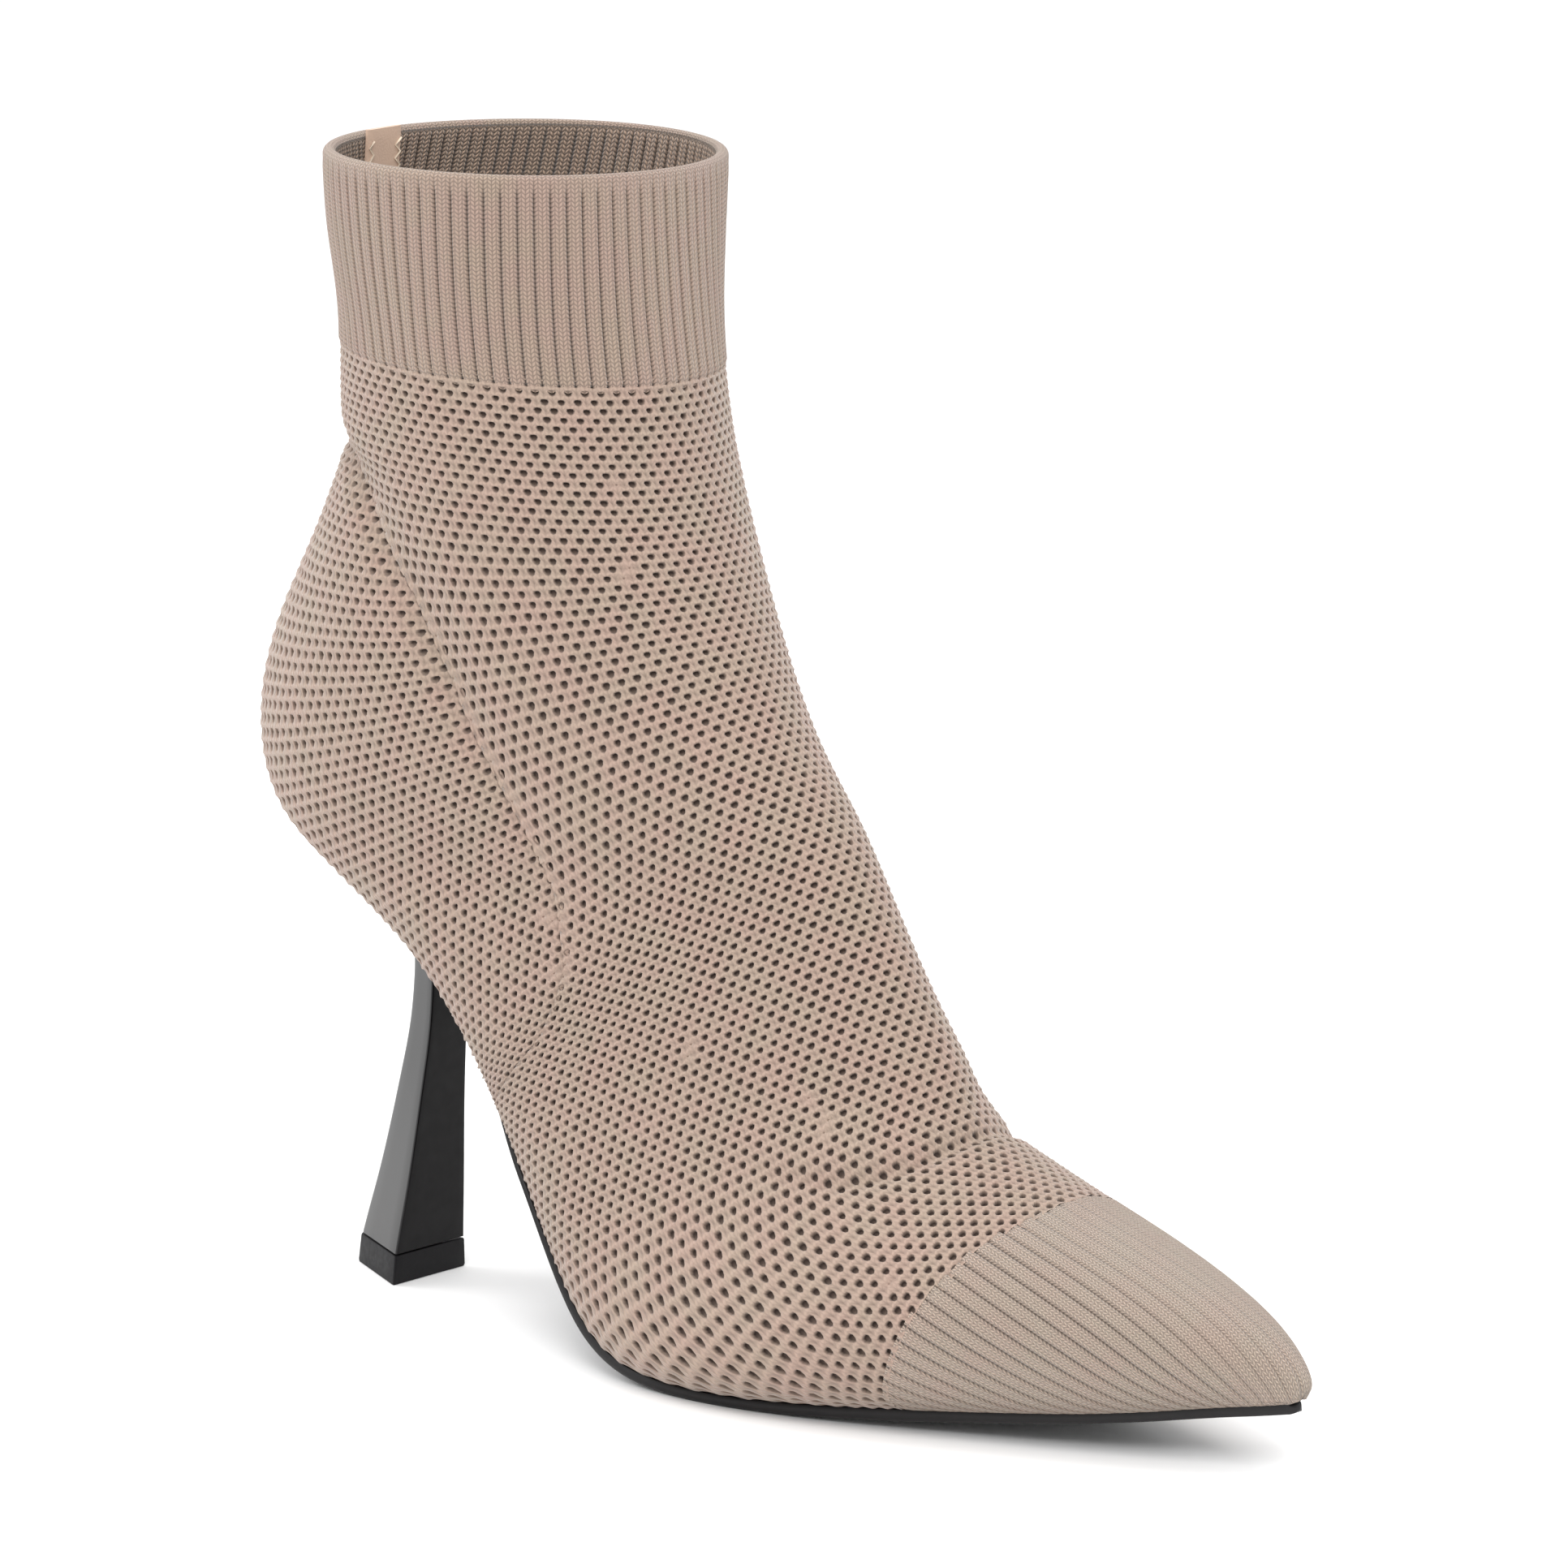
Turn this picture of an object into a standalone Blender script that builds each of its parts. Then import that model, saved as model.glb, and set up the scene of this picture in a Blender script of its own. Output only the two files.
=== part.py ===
"""Knitted sock boot on a slim flared heel: one right shoe, lofted from the sections of its last.

Metres, +Z up, +X towards the toe. +Y is the wearer's left, the inner side of this right shoe.
"""
import math
from collections import namedtuple

import bmesh
import bpy
import numpy as np

# Sizes of the last
FOOT_LENGTH = 0.241
BALL_WIDTH = 0.079
COLLAR_LENGTH = 0.0692
COLLAR_WIDTH = 0.0785
INSTEP_DEPTH = 0.044
HEEL_RISE = 0.0823
SHAFT_HEIGHT = 0.1325
TOE_SPRING = 0.011

# Knitted wall
WALL = 0.0018
CUFF_WALL = 0.0030
CUFF_PROUD = 0.0004
CUFF_HEIGHT = 0.0375
CUFF_STEP_RUN = 0.0006
RIM_RISE = 0.0012
TOE_PROUD = 0.0003
MARGIN_REACH = 0.40

# Sole, insole and tape
GAP = 0.0003
SOLE_THICKNESS = 0.0025
WAIST_THICKNESS = 0.0015
SOLE_BREAST_WIDTH = 0.022
SOLE_EDGE_ROUND = 0.0012
INSOLE_THICKNESS = 0.0020
INSOLE_EDGE_CLEARANCE = 0.0010
INSOLE_HEEL_FLAT = 0.0120
TAPE_WIDTH = 0.011
TAPE_LENGTH = 0.034
TAPE_THICKNESS = 0.0008
TAPE_PROUD = 0.0003

# Heel and its walking tip
HEEL_SETBACK = 0.0355
HEEL_BASE_WIDTH = 0.0204
HEEL_BASE_DEPTH = 0.0178
HEEL_NECK_WIDTH = 0.0098
HEEL_NECK_DEPTH = 0.0084
HEEL_CUP_WIDTH = 0.0190
HEEL_CUP_DEPTH = 0.0190
HEEL_LEAN = 0.0048
HEEL_BACK_RADIUS = 0.0021
HEEL_CORNER_RADIUS = 0.0006
LIFT_HEIGHT = 0.0057
LIFT_CHAMFER = 0.0004

# The outsole's underside stands on the floor, so the knit's underside lies this high at the tread.
KNIT_LEVEL = SOLE_THICKNESS + GAP

# Plain colours of the solids
KNIT_BEIGE = (0.47, 0.35, 0.28)
LINING_BEIGE = (0.42, 0.33, 0.27)
TAPE_BEIGE = (0.55, 0.43, 0.35)
SOLE_BLACK = (0.015, 0.014, 0.015)
HEEL_BLACK = (0.012, 0.012, 0.014)
TIP_BLACK = (0.02, 0.02, 0.02)

# Each shaft section is a ring from a point at the back to a point at the front.
# steps: rings up to the next section. up: of SHAFT_HEIGHT above the seat. back: of FOOT_LENGTH.
# collar, foot: the ring's depth, of COLLAR_LENGTH and of FOOT_LENGTH.
# rise: front above back, of INSTEP_DEPTH.
# collar_half, ball_half: half width, of half COLLAR_WIDTH and of half BALL_WIDTH.
# widest: where along the depth it is widest. low: squareness behind. flat: how flat it is under the feather.
Shaft = namedtuple("Shaft", "steps up back collar foot rise collar_half ball_half widest low flat")
SHAFT = [
    Shaft(2, 1.000, 0.097, 1.000, 0.000, -0.03, 1.00, 0.00, 0.50, 2.0, 0.0),
    Shaft(2, 0.890, 0.094, 1.028, 0.000, -0.06, 0.93, 0.00, 0.50, 2.0, 0.0),
    Shaft(2, 0.770, 0.096, 1.052, 0.000, -0.07, 0.85, 0.00, 0.50, 2.0, 0.0),
    Shaft(2, 0.635, 0.094, 1.118, 0.000, -0.09, 0.83, 0.00, 0.50, 2.0, 0.0),
    Shaft(3, 0.534, 0.087, 1.240, 0.000, -0.19, 0.81, 0.00, 0.50, 2.0, 0.0),
    Shaft(3, 0.373, 0.035, 0.800, 0.219, -0.14, 0.45, 0.36, 0.45, 2.0, 0.0),
    Shaft(3, 0.211, 0.000, 0.400, 0.408, 0.01, 0.15, 0.65, 0.40, 2.0, 0.0),
    Shaft(3, 0.081, 0.011, 0.000, 0.553, 0.14, 0.00, 0.76, 0.36, 2.1, 0.1),
]

# Each foot section is a ring from a point under the foot to a point on its ridge.
# up: of HEEL_RISE above the tread. spring: of TOE_SPRING. reach: the ring's depth, of FOOT_LENGTH.
# half: of half BALL_WIDTH. high: squareness above. swing: of half BALL_WIDTH, towards the inner side.
Foot = namedtuple("Foot", "steps back up spring reach rise half widest low high swing flat")
FOOT = [
    Foot(3, 0.071, 1.000, 0.00, 0.526, 0.13, 0.700, 0.33, 2.3, 2.0, 0.00, 0.4),
    Foot(3, 0.178, 0.848, 0.00, 0.445, 0.19, 0.696, 0.32, 2.5, 1.9, 0.00, 0.7),
    Foot(3, 0.262, 0.648, 0.00, 0.390, 0.31, 0.700, 0.32, 2.7, 1.9, 0.00, 0.9),
    Foot(3, 0.337, 0.369, 0.00, 0.339, 0.65, 0.760, 0.31, 2.8, 1.8, 0.00, 1.0),
    Foot(3, 0.415, 0.092, 0.00, 0.279, 0.98, 0.904, 0.30, 2.8, 1.8, 0.00, 1.0),
    Foot(3, 0.497, 0.000, 0.00, 0.243, 1.00, 1.000, 0.29, 2.8, 1.8, 0.03, 1.0),
    Foot(2, 0.604, 0.000, 0.00, 0.202, 0.87, 0.911, 0.28, 2.8, 1.8, 0.05, 1.0),
    Foot(2, 0.723, 0.000, 0.20, 0.156, 0.68, 0.663, 0.28, 2.8, 1.9, 0.08, 1.0),
    Foot(2, 0.838, 0.000, 0.46, 0.116, 0.43, 0.387, 0.30, 2.7, 2.0, 0.10, 1.0),
    Foot(2, 0.913, 0.000, 0.72, 0.076, 0.18, 0.185, 0.35, 2.5, 2.0, 0.13, 1.0),
    Foot(2, 0.956, 0.000, 0.91, 0.033, 0.06, 0.125, 0.42, 2.4, 2.0, 0.13, 1.0),
    Foot(0, 0.979, 0.000, 1.00, 0.008, 0.01, 0.060, 0.50, 2.2, 2.0, 0.13, 1.0),
]

# Each heel row is a level. up: of the seat's height. flare: from neck to base. cup: from neck to seat.
# lean: of HEEL_LEAN, how far the breast stands forward of the base.
HeelRow = namedtuple("HeelRow", "up flare cup lean")
HEEL = [
    HeelRow(0.071, 0.89, 0.00, 0.02),
    HeelRow(0.141, 0.76, 0.00, 0.16),
    HeelRow(0.235, 0.58, 0.00, 0.35),
    HeelRow(0.353, 0.38, 0.00, 0.55),
    HeelRow(0.470, 0.21, 0.00, 0.75),
    HeelRow(0.588, 0.07, 0.00, 0.94),
    HeelRow(0.706, 0.00, 0.00, 1.00),
    HeelRow(0.776, 0.00, 0.04, 1.00),
    HeelRow(0.840, 0.00, 0.36, 1.10),
    HeelRow(0.910, 0.00, 0.90, 1.25),
    HeelRow(1.040, 0.00, 1.10, 1.30),
]
HEEL_RINGS = 21
HEEL_BACK_FACETS = 8
LIFT_FOOT_FLARE = 1.00
LIFT_TOP_FLARE = 0.93

COLUMNS = 36                 # around each ring, from the ridge down the outer side
FEATHER = 13                 # column of the feather line, where side turns into underside
FEATHER_ANGLE = 2 * math.pi * FEATHER / COLUMNS
ROUND = 2.0
RING_APART = 0.15            # least distance, in sections, between a ring and the cuff's border
OPENING = (9.35, 16.6)       # sections between which the underside is open
TOE_BORDER = (14.3, 15.5)    # section where the ribbed toe starts, at the ridge and at the feather
INNER_END = 18               # section where the hollow ends inside the toe
SOLE_ACROSS = (-1.0, -0.95, -0.6, -0.3, 0.0, 0.3, 0.6, 0.95, 1.0)
INSOLE_ACROSS = (-1.0, -0.7, -0.35, 0.0, 0.35, 0.7, 1.0)
TAPE_ACROSS = (-1.0, -0.5, 0.0, 0.5, 1.0)
WAIST_END = 0.34             # of FOOT_LENGTH, where the sole reaches the feather's full width
TREAD_START = 0.43           # of FOOT_LENGTH, where the sole reaches its full thickness
INSOLE_START = 0.052         # of FOOT_LENGTH
INSOLE_END = 0.925           # of FOOT_LENGTH
INSOLE_HEEL_ROUND = 0.085    # of FOOT_LENGTH, length of its rounded end
INSOLE_HEEL_STEPS = (0.12, 0.40)
STATION_APART = 0.3          # least distance, in rings, between two stations of sole or insole
CUFF_RINGS = 8               # rings from the collar that reach below the tape
TAPE_RINGS = 7


def resolve_shaft(row):
    """The ten lengths and shares that one shaft section is drawn from."""
    back = row.back * FOOT_LENGTH
    level = KNIT_LEVEL + HEEL_RISE + row.up * SHAFT_HEIGHT
    depth = row.collar * COLLAR_LENGTH + row.foot * FOOT_LENGTH
    half = (row.collar_half * COLLAR_WIDTH + row.ball_half * BALL_WIDTH) / 2
    front_level = level + row.rise * INSTEP_DEPTH
    return back, level, back + depth, front_level, half, row.widest, row.low, ROUND, 0.0, row.flat


def resolve_foot(row):
    """The same ten values for a section of the foot."""
    back = row.back * FOOT_LENGTH
    level = KNIT_LEVEL + row.up * HEEL_RISE + row.spring * TOE_SPRING
    front = back + row.reach * FOOT_LENGTH
    half = row.half * BALL_WIDTH / 2
    front_level = level + row.rise * INSTEP_DEPTH
    swing = row.swing * BALL_WIDTH / 2
    return back, level, front, front_level, half, row.widest, row.low, row.high, swing, row.flat


SECTIONS = np.array([resolve_shaft(r) for r in SHAFT] + [resolve_foot(r) for r in FOOT])


def spline(knots, at):
    """A natural cubic spline through the rows of knots, read at the row numbers in at."""
    count = len(knots)
    system = np.eye(count)
    bend = np.zeros_like(knots)
    for i in range(1, count - 1):
        system[i, i - 1:i + 2] = (1, 4, 1)
        bend[i] = 6 * (knots[i - 1] - 2 * knots[i] + knots[i + 1])
    curve = np.linalg.solve(system, bend)
    at = np.atleast_1d(at)
    i = np.clip(at.astype(int), 0, count - 2)
    f = (at - i)[:, None]
    g = 1 - f
    return g * knots[i] + f * knots[i + 1] + (g ** 3 - g) * curve[i] / 6 + (f ** 3 - f) * curve[i + 1] / 6


def ring(values, angle):
    """Points of one section: a flattened oval, square towards the sole, cut flat below the feather."""
    back, level, front, front_level, half, widest, low, high, swing, flat = values
    c, s = np.cos(angle), np.sin(angle)
    power = 2 / np.where(c >= 0, high, low)
    along = np.sign(c) * np.abs(c) ** power
    across = np.sign(s) * np.abs(s) ** power
    share = np.where(along >= 0, widest + (1 - widest) * along, widest + widest * along)
    feather = widest - widest * abs(math.cos(FEATHER_ANGLE)) ** (2 / low)
    share = np.where(share < feather, feather + (1 - flat) * (share - feather), share)
    share = (share - flat * feather) / (1 - flat * feather)
    return np.stack([back + (front - back) * share,
                     swing - half * across,
                     level + (front_level - level) * share], -1)


def skin(rows, angles):
    """The last's surface and its outward unit normals at each row number and angle."""
    def at(row_shift, turn):
        values = spline(SECTIONS, np.clip(rows + row_shift, 0, len(SECTIONS) - 1))
        return np.array([ring(v, angles + turn) for v in values])
    small = 0.01
    along_rows = at(small, 0) - at(-small, 0)
    around = at(0, small) - at(0, -small)
    normals = np.cross(around, along_rows)
    normals /= np.linalg.norm(normals, axis=-1, keepdims=True)
    return at(0, 0), normals


def row_of(column, value, first, last):
    """The row number, between two sections, where a column of the spline passes a value."""
    rows = np.linspace(first, last, 400)
    found = spline(SECTIONS, rows)[:, column]
    if found[0] > found[-1]:
        return float(np.interp(-value, -found, rows))
    return float(np.interp(value, found, rows))


def ring_rows():
    """Row numbers of all rings, with the pair that makes the cuff's step."""
    rows = []
    for number, row in enumerate(SHAFT + FOOT):
        rows += [number + i / row.steps for i in range(row.steps)]
    rows.append(len(SECTIONS) - 1)
    collar_level = SECTIONS[0][1]
    border = row_of(1, collar_level - CUFF_HEIGHT, 0, 4)
    below = row_of(1, collar_level - CUFF_HEIGHT - CUFF_STEP_RUN, 0, 4)
    rows = [r for r in rows if abs(r - border) > RING_APART]
    return np.array(sorted(rows + [border, below])), border


ROWS, CUFF_ROW = ring_rows()
ANGLES = np.arange(COLUMNS) * 2 * math.pi / COLUMNS
BASE, NORMALS = skin(ROWS, ANGLES)


def proud():
    """How far cuff and ribbed toe stand out from the plain knit, for each ring and column."""
    side = np.minimum(np.arange(COLUMNS), COLUMNS - np.arange(COLUMNS)) / FEATHER
    border = TOE_BORDER[0] + (TOE_BORDER[1] - TOE_BORDER[0]) * np.minimum(side, 1)
    toe = np.clip(ROWS[:, None] - border[None, :], 0, 1) * TOE_PROUD
    toe[:, FEATHER:COLUMNS - FEATHER + 1] = 0
    cuff = np.where(ROWS <= CUFF_ROW, CUFF_PROUD, 0)[:, None]
    return toe + cuff


OUTER = BASE + NORMALS * proud()[..., None]
INWARD = np.where(ROWS <= CUFF_ROW, CUFF_WALL - CUFF_PROUD, WALL)[:, None, None]
INNER = BASE - NORMALS * INWARD
CENTRE_X, CENTRE_Y = (OUTER.min((0, 1)) + OUTER.max((0, 1)))[:2] / 2


def make_object(name, points, faces, colour, roughness, smooth_angle=40):
    """A closed mesh with its faces outward, its own material, and the part's origin under its middle."""
    mesh = bpy.data.meshes.new(name)
    moved = np.asarray(points) - (CENTRE_X, CENTRE_Y, 0)
    mesh.from_pydata([tuple(p) for p in moved], [], faces)
    shape = bmesh.new()
    shape.from_mesh(mesh)
    bmesh.ops.recalc_face_normals(shape, faces=shape.faces)
    shape.to_mesh(mesh)
    shape.free()
    mesh.shade_smooth()
    mesh.set_sharp_from_angle(angle=math.radians(smooth_angle))
    material = bpy.data.materials.new(name + "_material")
    material.use_nodes = True
    shader = material.node_tree.nodes["Principled BSDF"]
    shader.inputs["Base Color"].default_value = (*colour, 1)
    shader.inputs["Roughness"].default_value = roughness
    mesh.materials.append(material)
    thing = bpy.data.objects.new(name, mesh)
    bpy.context.scene.collection.objects.link(thing)
    return thing


def quads(first, columns, rows, closed, skip=None):
    """Faces of a grid of points stored row by row from index first."""
    faces = []
    for r in range(rows - 1):
        for c in range(columns if closed else columns - 1):
            if skip and skip(r, c):
                continue
            d = (c + 1) % columns
            faces.append((first + r * columns + c, first + r * columns + d,
                          first + (r + 1) * columns + d, first + (r + 1) * columns + c))
    return faces


def build_upper():
    """The knitted shell: outside, inside, rolled rim, and the turned-in margin round its opening."""
    inner_count = int(np.searchsorted(ROWS, INNER_END)) + 1
    open_first = int(np.searchsorted(ROWS, OPENING[0]))
    open_last = int(np.searchsorted(ROWS, OPENING[1]))
    margin = round(MARGIN_REACH * (COLUMNS / 2 - FEATHER))
    left, right = FEATHER + margin, COLUMNS - FEATHER - margin

    def is_open(r, c):
        return open_first <= r < open_last and left <= c < right

    rim = []
    for turn in (0.25, 0.5, 0.75):
        lift = np.array((0, 0, RIM_RISE * math.sin(math.pi * turn)))
        rim.append(OUTER[0] + (INNER[0] - OUTER[0]) * (1 - math.cos(math.pi * turn)) / 2 + lift)
    outer = OUTER.reshape(-1, 3)
    inner = INNER[:inner_count].reshape(-1, 3)
    outer_tip = OUTER[-1].mean(0)
    inner_tip = INNER[inner_count - 1].mean(0)
    points = np.vstack([outer, inner, np.vstack(rim), outer_tip, inner_tip])
    in0 = len(outer)
    rim0 = in0 + len(inner)
    tip = rim0 + len(rim) * COLUMNS
    faces = quads(0, COLUMNS, len(ROWS), True, is_open)
    faces += quads(in0, COLUMNS, inner_count, True, is_open)
    rim_rings = [0] + [rim0 + i * COLUMNS for i in range(len(rim))] + [in0]
    for a, b in zip(rim_rings, rim_rings[1:]):
        faces += [(a + c, b + c, b + (c + 1) % COLUMNS, a + (c + 1) % COLUMNS) for c in range(COLUMNS)]
    last_outer = (len(ROWS) - 1) * COLUMNS
    last_inner = in0 + (inner_count - 1) * COLUMNS
    for start, pole in ((last_outer, tip), (last_inner, tip + 1)):
        faces += [(start + c, start + (c + 1) % COLUMNS, pole) for c in range(COLUMNS)]
    for r in (open_first, open_last):
        faces += [(r * COLUMNS + c, r * COLUMNS + c + 1, in0 + r * COLUMNS + c + 1, in0 + r * COLUMNS + c)
                  for c in range(left, right)]
    for c in (left, right):
        faces += [(r * COLUMNS + c, (r + 1) * COLUMNS + c, in0 + (r + 1) * COLUMNS + c, in0 + r * COLUMNS + c)
                  for r in range(open_first, open_last)]
    return make_object("upper", points, faces, KNIT_BEIGE, 0.9)


UNDER = slice(FEATHER, COLUMNS - FEATHER + 1)


def at_ring(grid, position):
    """A grid's values between two of its rings."""
    first = min(int(position), len(grid) - 2)
    part = position - first
    return grid[first] * (1 - part) + grid[first + 1] * part


def under_point(grid, position, across, spread):
    """A point on the faceted underside, across of the way from its middle to spread, by width."""
    line = at_ring(grid, position)[UNDER]
    middle = line[len(line) // 2, 1]
    y = middle + across * spread
    return np.array([np.interp(y, line[:, 1], line[:, 0]), y, np.interp(y, line[:, 1], line[:, 2])])


def keel_normal(position):
    """The downward normal of the underside's middle line, in the shoe's long plane."""
    line = at_ring(BASE, min(position + 0.5, len(ROWS) - 1)) - at_ring(BASE, position - 0.5)
    x, _, z = line[COLUMNS // 2]
    return np.array([z, 0, -x]) / math.hypot(x, z)


def feather_half(position):
    """Half the width between the feather lines."""
    line = at_ring(BASE, position)[UNDER]
    return (line[-1, 1] - line[0, 1]) / 2


KEEL_X = BASE[:, COLUMNS // 2, 0]
KEEL_FIRST = int(np.argmin(KEEL_X))


def ring_at_x(x):
    """The ring position where the underside's middle line passes x."""
    return float(np.interp(x, KEEL_X[KEEL_FIRST:], np.arange(KEEL_FIRST, len(ROWS))))


def slab(name, top, bottom, colour, roughness):
    """A closed solid between two grids of points of one size."""
    rows, columns = len(top), len(top[0])
    points = np.vstack([np.reshape(top, (-1, 3)), np.reshape(bottom, (-1, 3))])
    low = rows * columns
    faces = quads(0, columns, rows, False) + [f[::-1] for f in quads(low, columns, rows, False)]
    edge = list(range(columns)) + [(r + 1) * columns - 1 for r in range(1, rows)]
    edge += [(rows - 1) * columns + c for c in range(columns - 2, -1, -1)]
    edge += [r * columns for r in range(rows - 2, 0, -1)]
    faces += [(b, a, low + a, low + b) for a, b in zip(edge, edge[1:] + edge[:1])]
    return make_object(name, points, faces, colour, roughness)


def ease(share):
    """A smooth step from 0 to 1."""
    share = min(max(share, 0.0), 1.0)
    return share * share * (3 - 2 * share)


def heel_outline(flare, cup, lean):
    """The heel's plan at one level: flat breast, straight converging sides and a small round back."""
    width = HEEL_NECK_WIDTH + flare * (HEEL_BASE_WIDTH - HEEL_NECK_WIDTH)
    width += cup * (HEEL_CUP_WIDTH - HEEL_NECK_WIDTH)
    depth = HEEL_NECK_DEPTH + flare * (HEEL_BASE_DEPTH - HEEL_NECK_DEPTH)
    depth += cup * (HEEL_CUP_DEPTH - HEEL_NECK_DEPTH)
    radius = HEEL_BACK_RADIUS * (1 + cup)
    breast = HEEL_SETBACK + lean * HEEL_LEAN
    half = width / 2
    run = depth - radius
    side = math.atan2(half, run) - math.asin(radius / math.hypot(half, run))
    centre = breast - run
    points = [(breast, -half * s) for s in (-0.5, 0.0, 0.5)]
    corner = np.array((breast, -half))
    tangent = np.array((centre - radius * math.sin(side), -radius * math.cos(side)))
    towards_back = (tangent - corner) / np.linalg.norm(tangent - corner)
    start = corner + np.array((0, HEEL_CORNER_RADIUS))
    end = corner + towards_back * HEEL_CORNER_RADIUS
    outer_side = [start, (start + end) / 4 + corner / 2, end]
    outer_side += [end + (tangent - end) * s for s in (0.33, 0.67)]
    sweep = (math.pi - 2 * side) / HEEL_BACK_FACETS
    arc = [math.radians(270) - side - sweep * i for i in range(HEEL_BACK_FACETS + 1)]
    back = [(centre + radius * math.cos(a), radius * math.sin(a)) for a in arc]
    inner_side = [(x, -y) for x, y in reversed(outer_side)]
    return [tuple(p) for p in points + outer_side + back + inner_side]


def loft(name, outlines, levels, colour, roughness):
    """A closed solid through level outlines that have the same number of points."""
    count = len(outlines[0])
    points = [(x, y, z) for outline, z in zip(outlines, levels) for x, y in outline]
    faces = quads(0, count, len(outlines), True)
    faces.append(tuple(range(count)))
    faces.append(tuple(len(points) - count + i for i in range(count)))
    return make_object(name, points, faces, colour, roughness, smooth_angle=30)


def build_heel():
    """The moulded heel, cut at its top by the knitted seat with a small gap."""
    table = spline(np.array(HEEL, dtype=float), np.linspace(0, len(HEEL) - 1, HEEL_RINGS))
    seat = KNIT_LEVEL + HEEL_RISE
    levels = [row[0] * seat for row in table]
    levels[0] = LIFT_HEIGHT + GAP
    outlines = [heel_outline(max(row[1], 0), max(row[2], 0), row[3]) for row in table]
    heel = loft("heel", outlines, levels, HEEL_BLACK, 0.2)
    grown = OUTER + NORMALS * GAP
    points = np.vstack([grown.reshape(-1, 3), grown[0].mean(0), grown[-1].mean(0)])
    faces = quads(0, COLUMNS, len(ROWS), True)
    first_pole = len(ROWS) * COLUMNS
    last = first_pole - COLUMNS
    faces += [(c, (c + 1) % COLUMNS, first_pole) for c in range(COLUMNS)]
    faces += [(last + c, last + (c + 1) % COLUMNS, first_pole + 1) for c in range(COLUMNS)]
    cutter = make_object("last_cutter", points, faces, KNIT_BEIGE, 0.9)
    cutter.hide_render = True
    cutter.display_type = "WIRE"
    cut = heel.modifiers.new("seat", "BOOLEAN")
    cut.operation = "DIFFERENCE"
    cut.object = cutter


def build_top_lift():
    """The walking tip: the heel's plan, a little proud of it, flat on the floor."""
    foot = heel_outline(LIFT_FOOT_FLARE, 0, 0)
    middle = np.mean(foot, axis=0)
    inset = 1 - LIFT_CHAMFER / (HEEL_BASE_WIDTH / 2)
    edge = [tuple(middle + (np.array(p) - middle) * inset) for p in foot]
    top = heel_outline(LIFT_TOP_FLARE, 0, HEEL[0].lean)
    loft("top_lift", [edge, foot, top], [0, LIFT_CHAMFER, LIFT_HEIGHT], TIP_BLACK, 0.6)


def build_outsole():
    """The sole: follows the knit's underside, narrow at the breast, and stands flat at the tread."""
    breast = HEEL_SETBACK + HEEL[-2].lean * HEEL_LEAN
    start_x = breast + WAIST_THICKNESS + 2 * GAP
    start = ring_at_x(start_x)
    stations = [start] + [r for r in range(int(start) + 1, len(ROWS)) if r - start > STATION_APART]
    top, bottom = [], []
    for position in stations:
        x = at_ring(BASE, position)[COLUMNS // 2, 0]
        wide = ease((x - start_x) / (WAIST_END * FOOT_LENGTH - start_x))
        half = SOLE_BREAST_WIDTH / 2 * (1 - wide) + feather_half(position) * wide
        half = min(half, feather_half(position))
        thick = ease((x - WAIST_END * FOOT_LENGTH) / ((TREAD_START - WAIST_END) * FOOT_LENGTH))
        thick = WAIST_THICKNESS + (SOLE_THICKNESS - WAIST_THICKNESS) * thick
        down = keel_normal(position)
        top_row, bottom_row = [], []
        for across in SOLE_ACROSS:
            point = under_point(BASE, position, across, half)
            top_row.append(point + down * GAP)
            edge = abs(across) == 1
            low = point + down * (GAP + thick - (SOLE_EDGE_ROUND * thick / SOLE_THICKNESS if edge else 0))
            low[2] = max(low[2], 0)
            bottom_row.append(low)
        top.append(top_row)
        bottom.append(bottom_row)
    slab("outsole", top, bottom, SOLE_BLACK, 0.45)


def build_insole():
    """The insole: rests on the margin inside, with a round heel end."""
    start_x = INSOLE_START * FOOT_LENGTH
    round_length = INSOLE_HEEL_ROUND * FOOT_LENGTH
    first, last = ring_at_x(start_x), ring_at_x(INSOLE_END * FOOT_LENGTH)
    stations = [first] + [ring_at_x(start_x + round_length * step) for step in INSOLE_HEEL_STEPS]
    stations += [r for r in range(int(first) + 1, int(last) + 1) if r > stations[-1] + STATION_APART]
    stations.append(last)
    lift = NORMALS.copy()
    lift[:, FEATHER] = lift[:, FEATHER + 1]
    lift[:, COLUMNS - FEATHER] = lift[:, COLUMNS - FEATHER - 1]
    low_grid = BASE - lift * (WALL + GAP)
    high_grid = BASE - lift * (WALL + GAP + INSOLE_THICKNESS)
    top, bottom = [], []
    for position in stations:
        x = at_ring(BASE, position)[COLUMNS // 2, 0]
        behind = min(max(1 - (x - start_x) / round_length, 0), 1)
        half = (feather_half(position) - WALL - INSOLE_EDGE_CLEARANCE) * math.sqrt(1 - behind ** 2)
        half = max(half, INSOLE_HEEL_FLAT / 2)
        bottom.append([under_point(low_grid, position, a, half) for a in INSOLE_ACROSS])
        top.append([under_point(high_grid, position, a, half) for a in INSOLE_ACROSS])
    slab("insole", top, bottom, LINING_BEIGE, 0.8)


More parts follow.
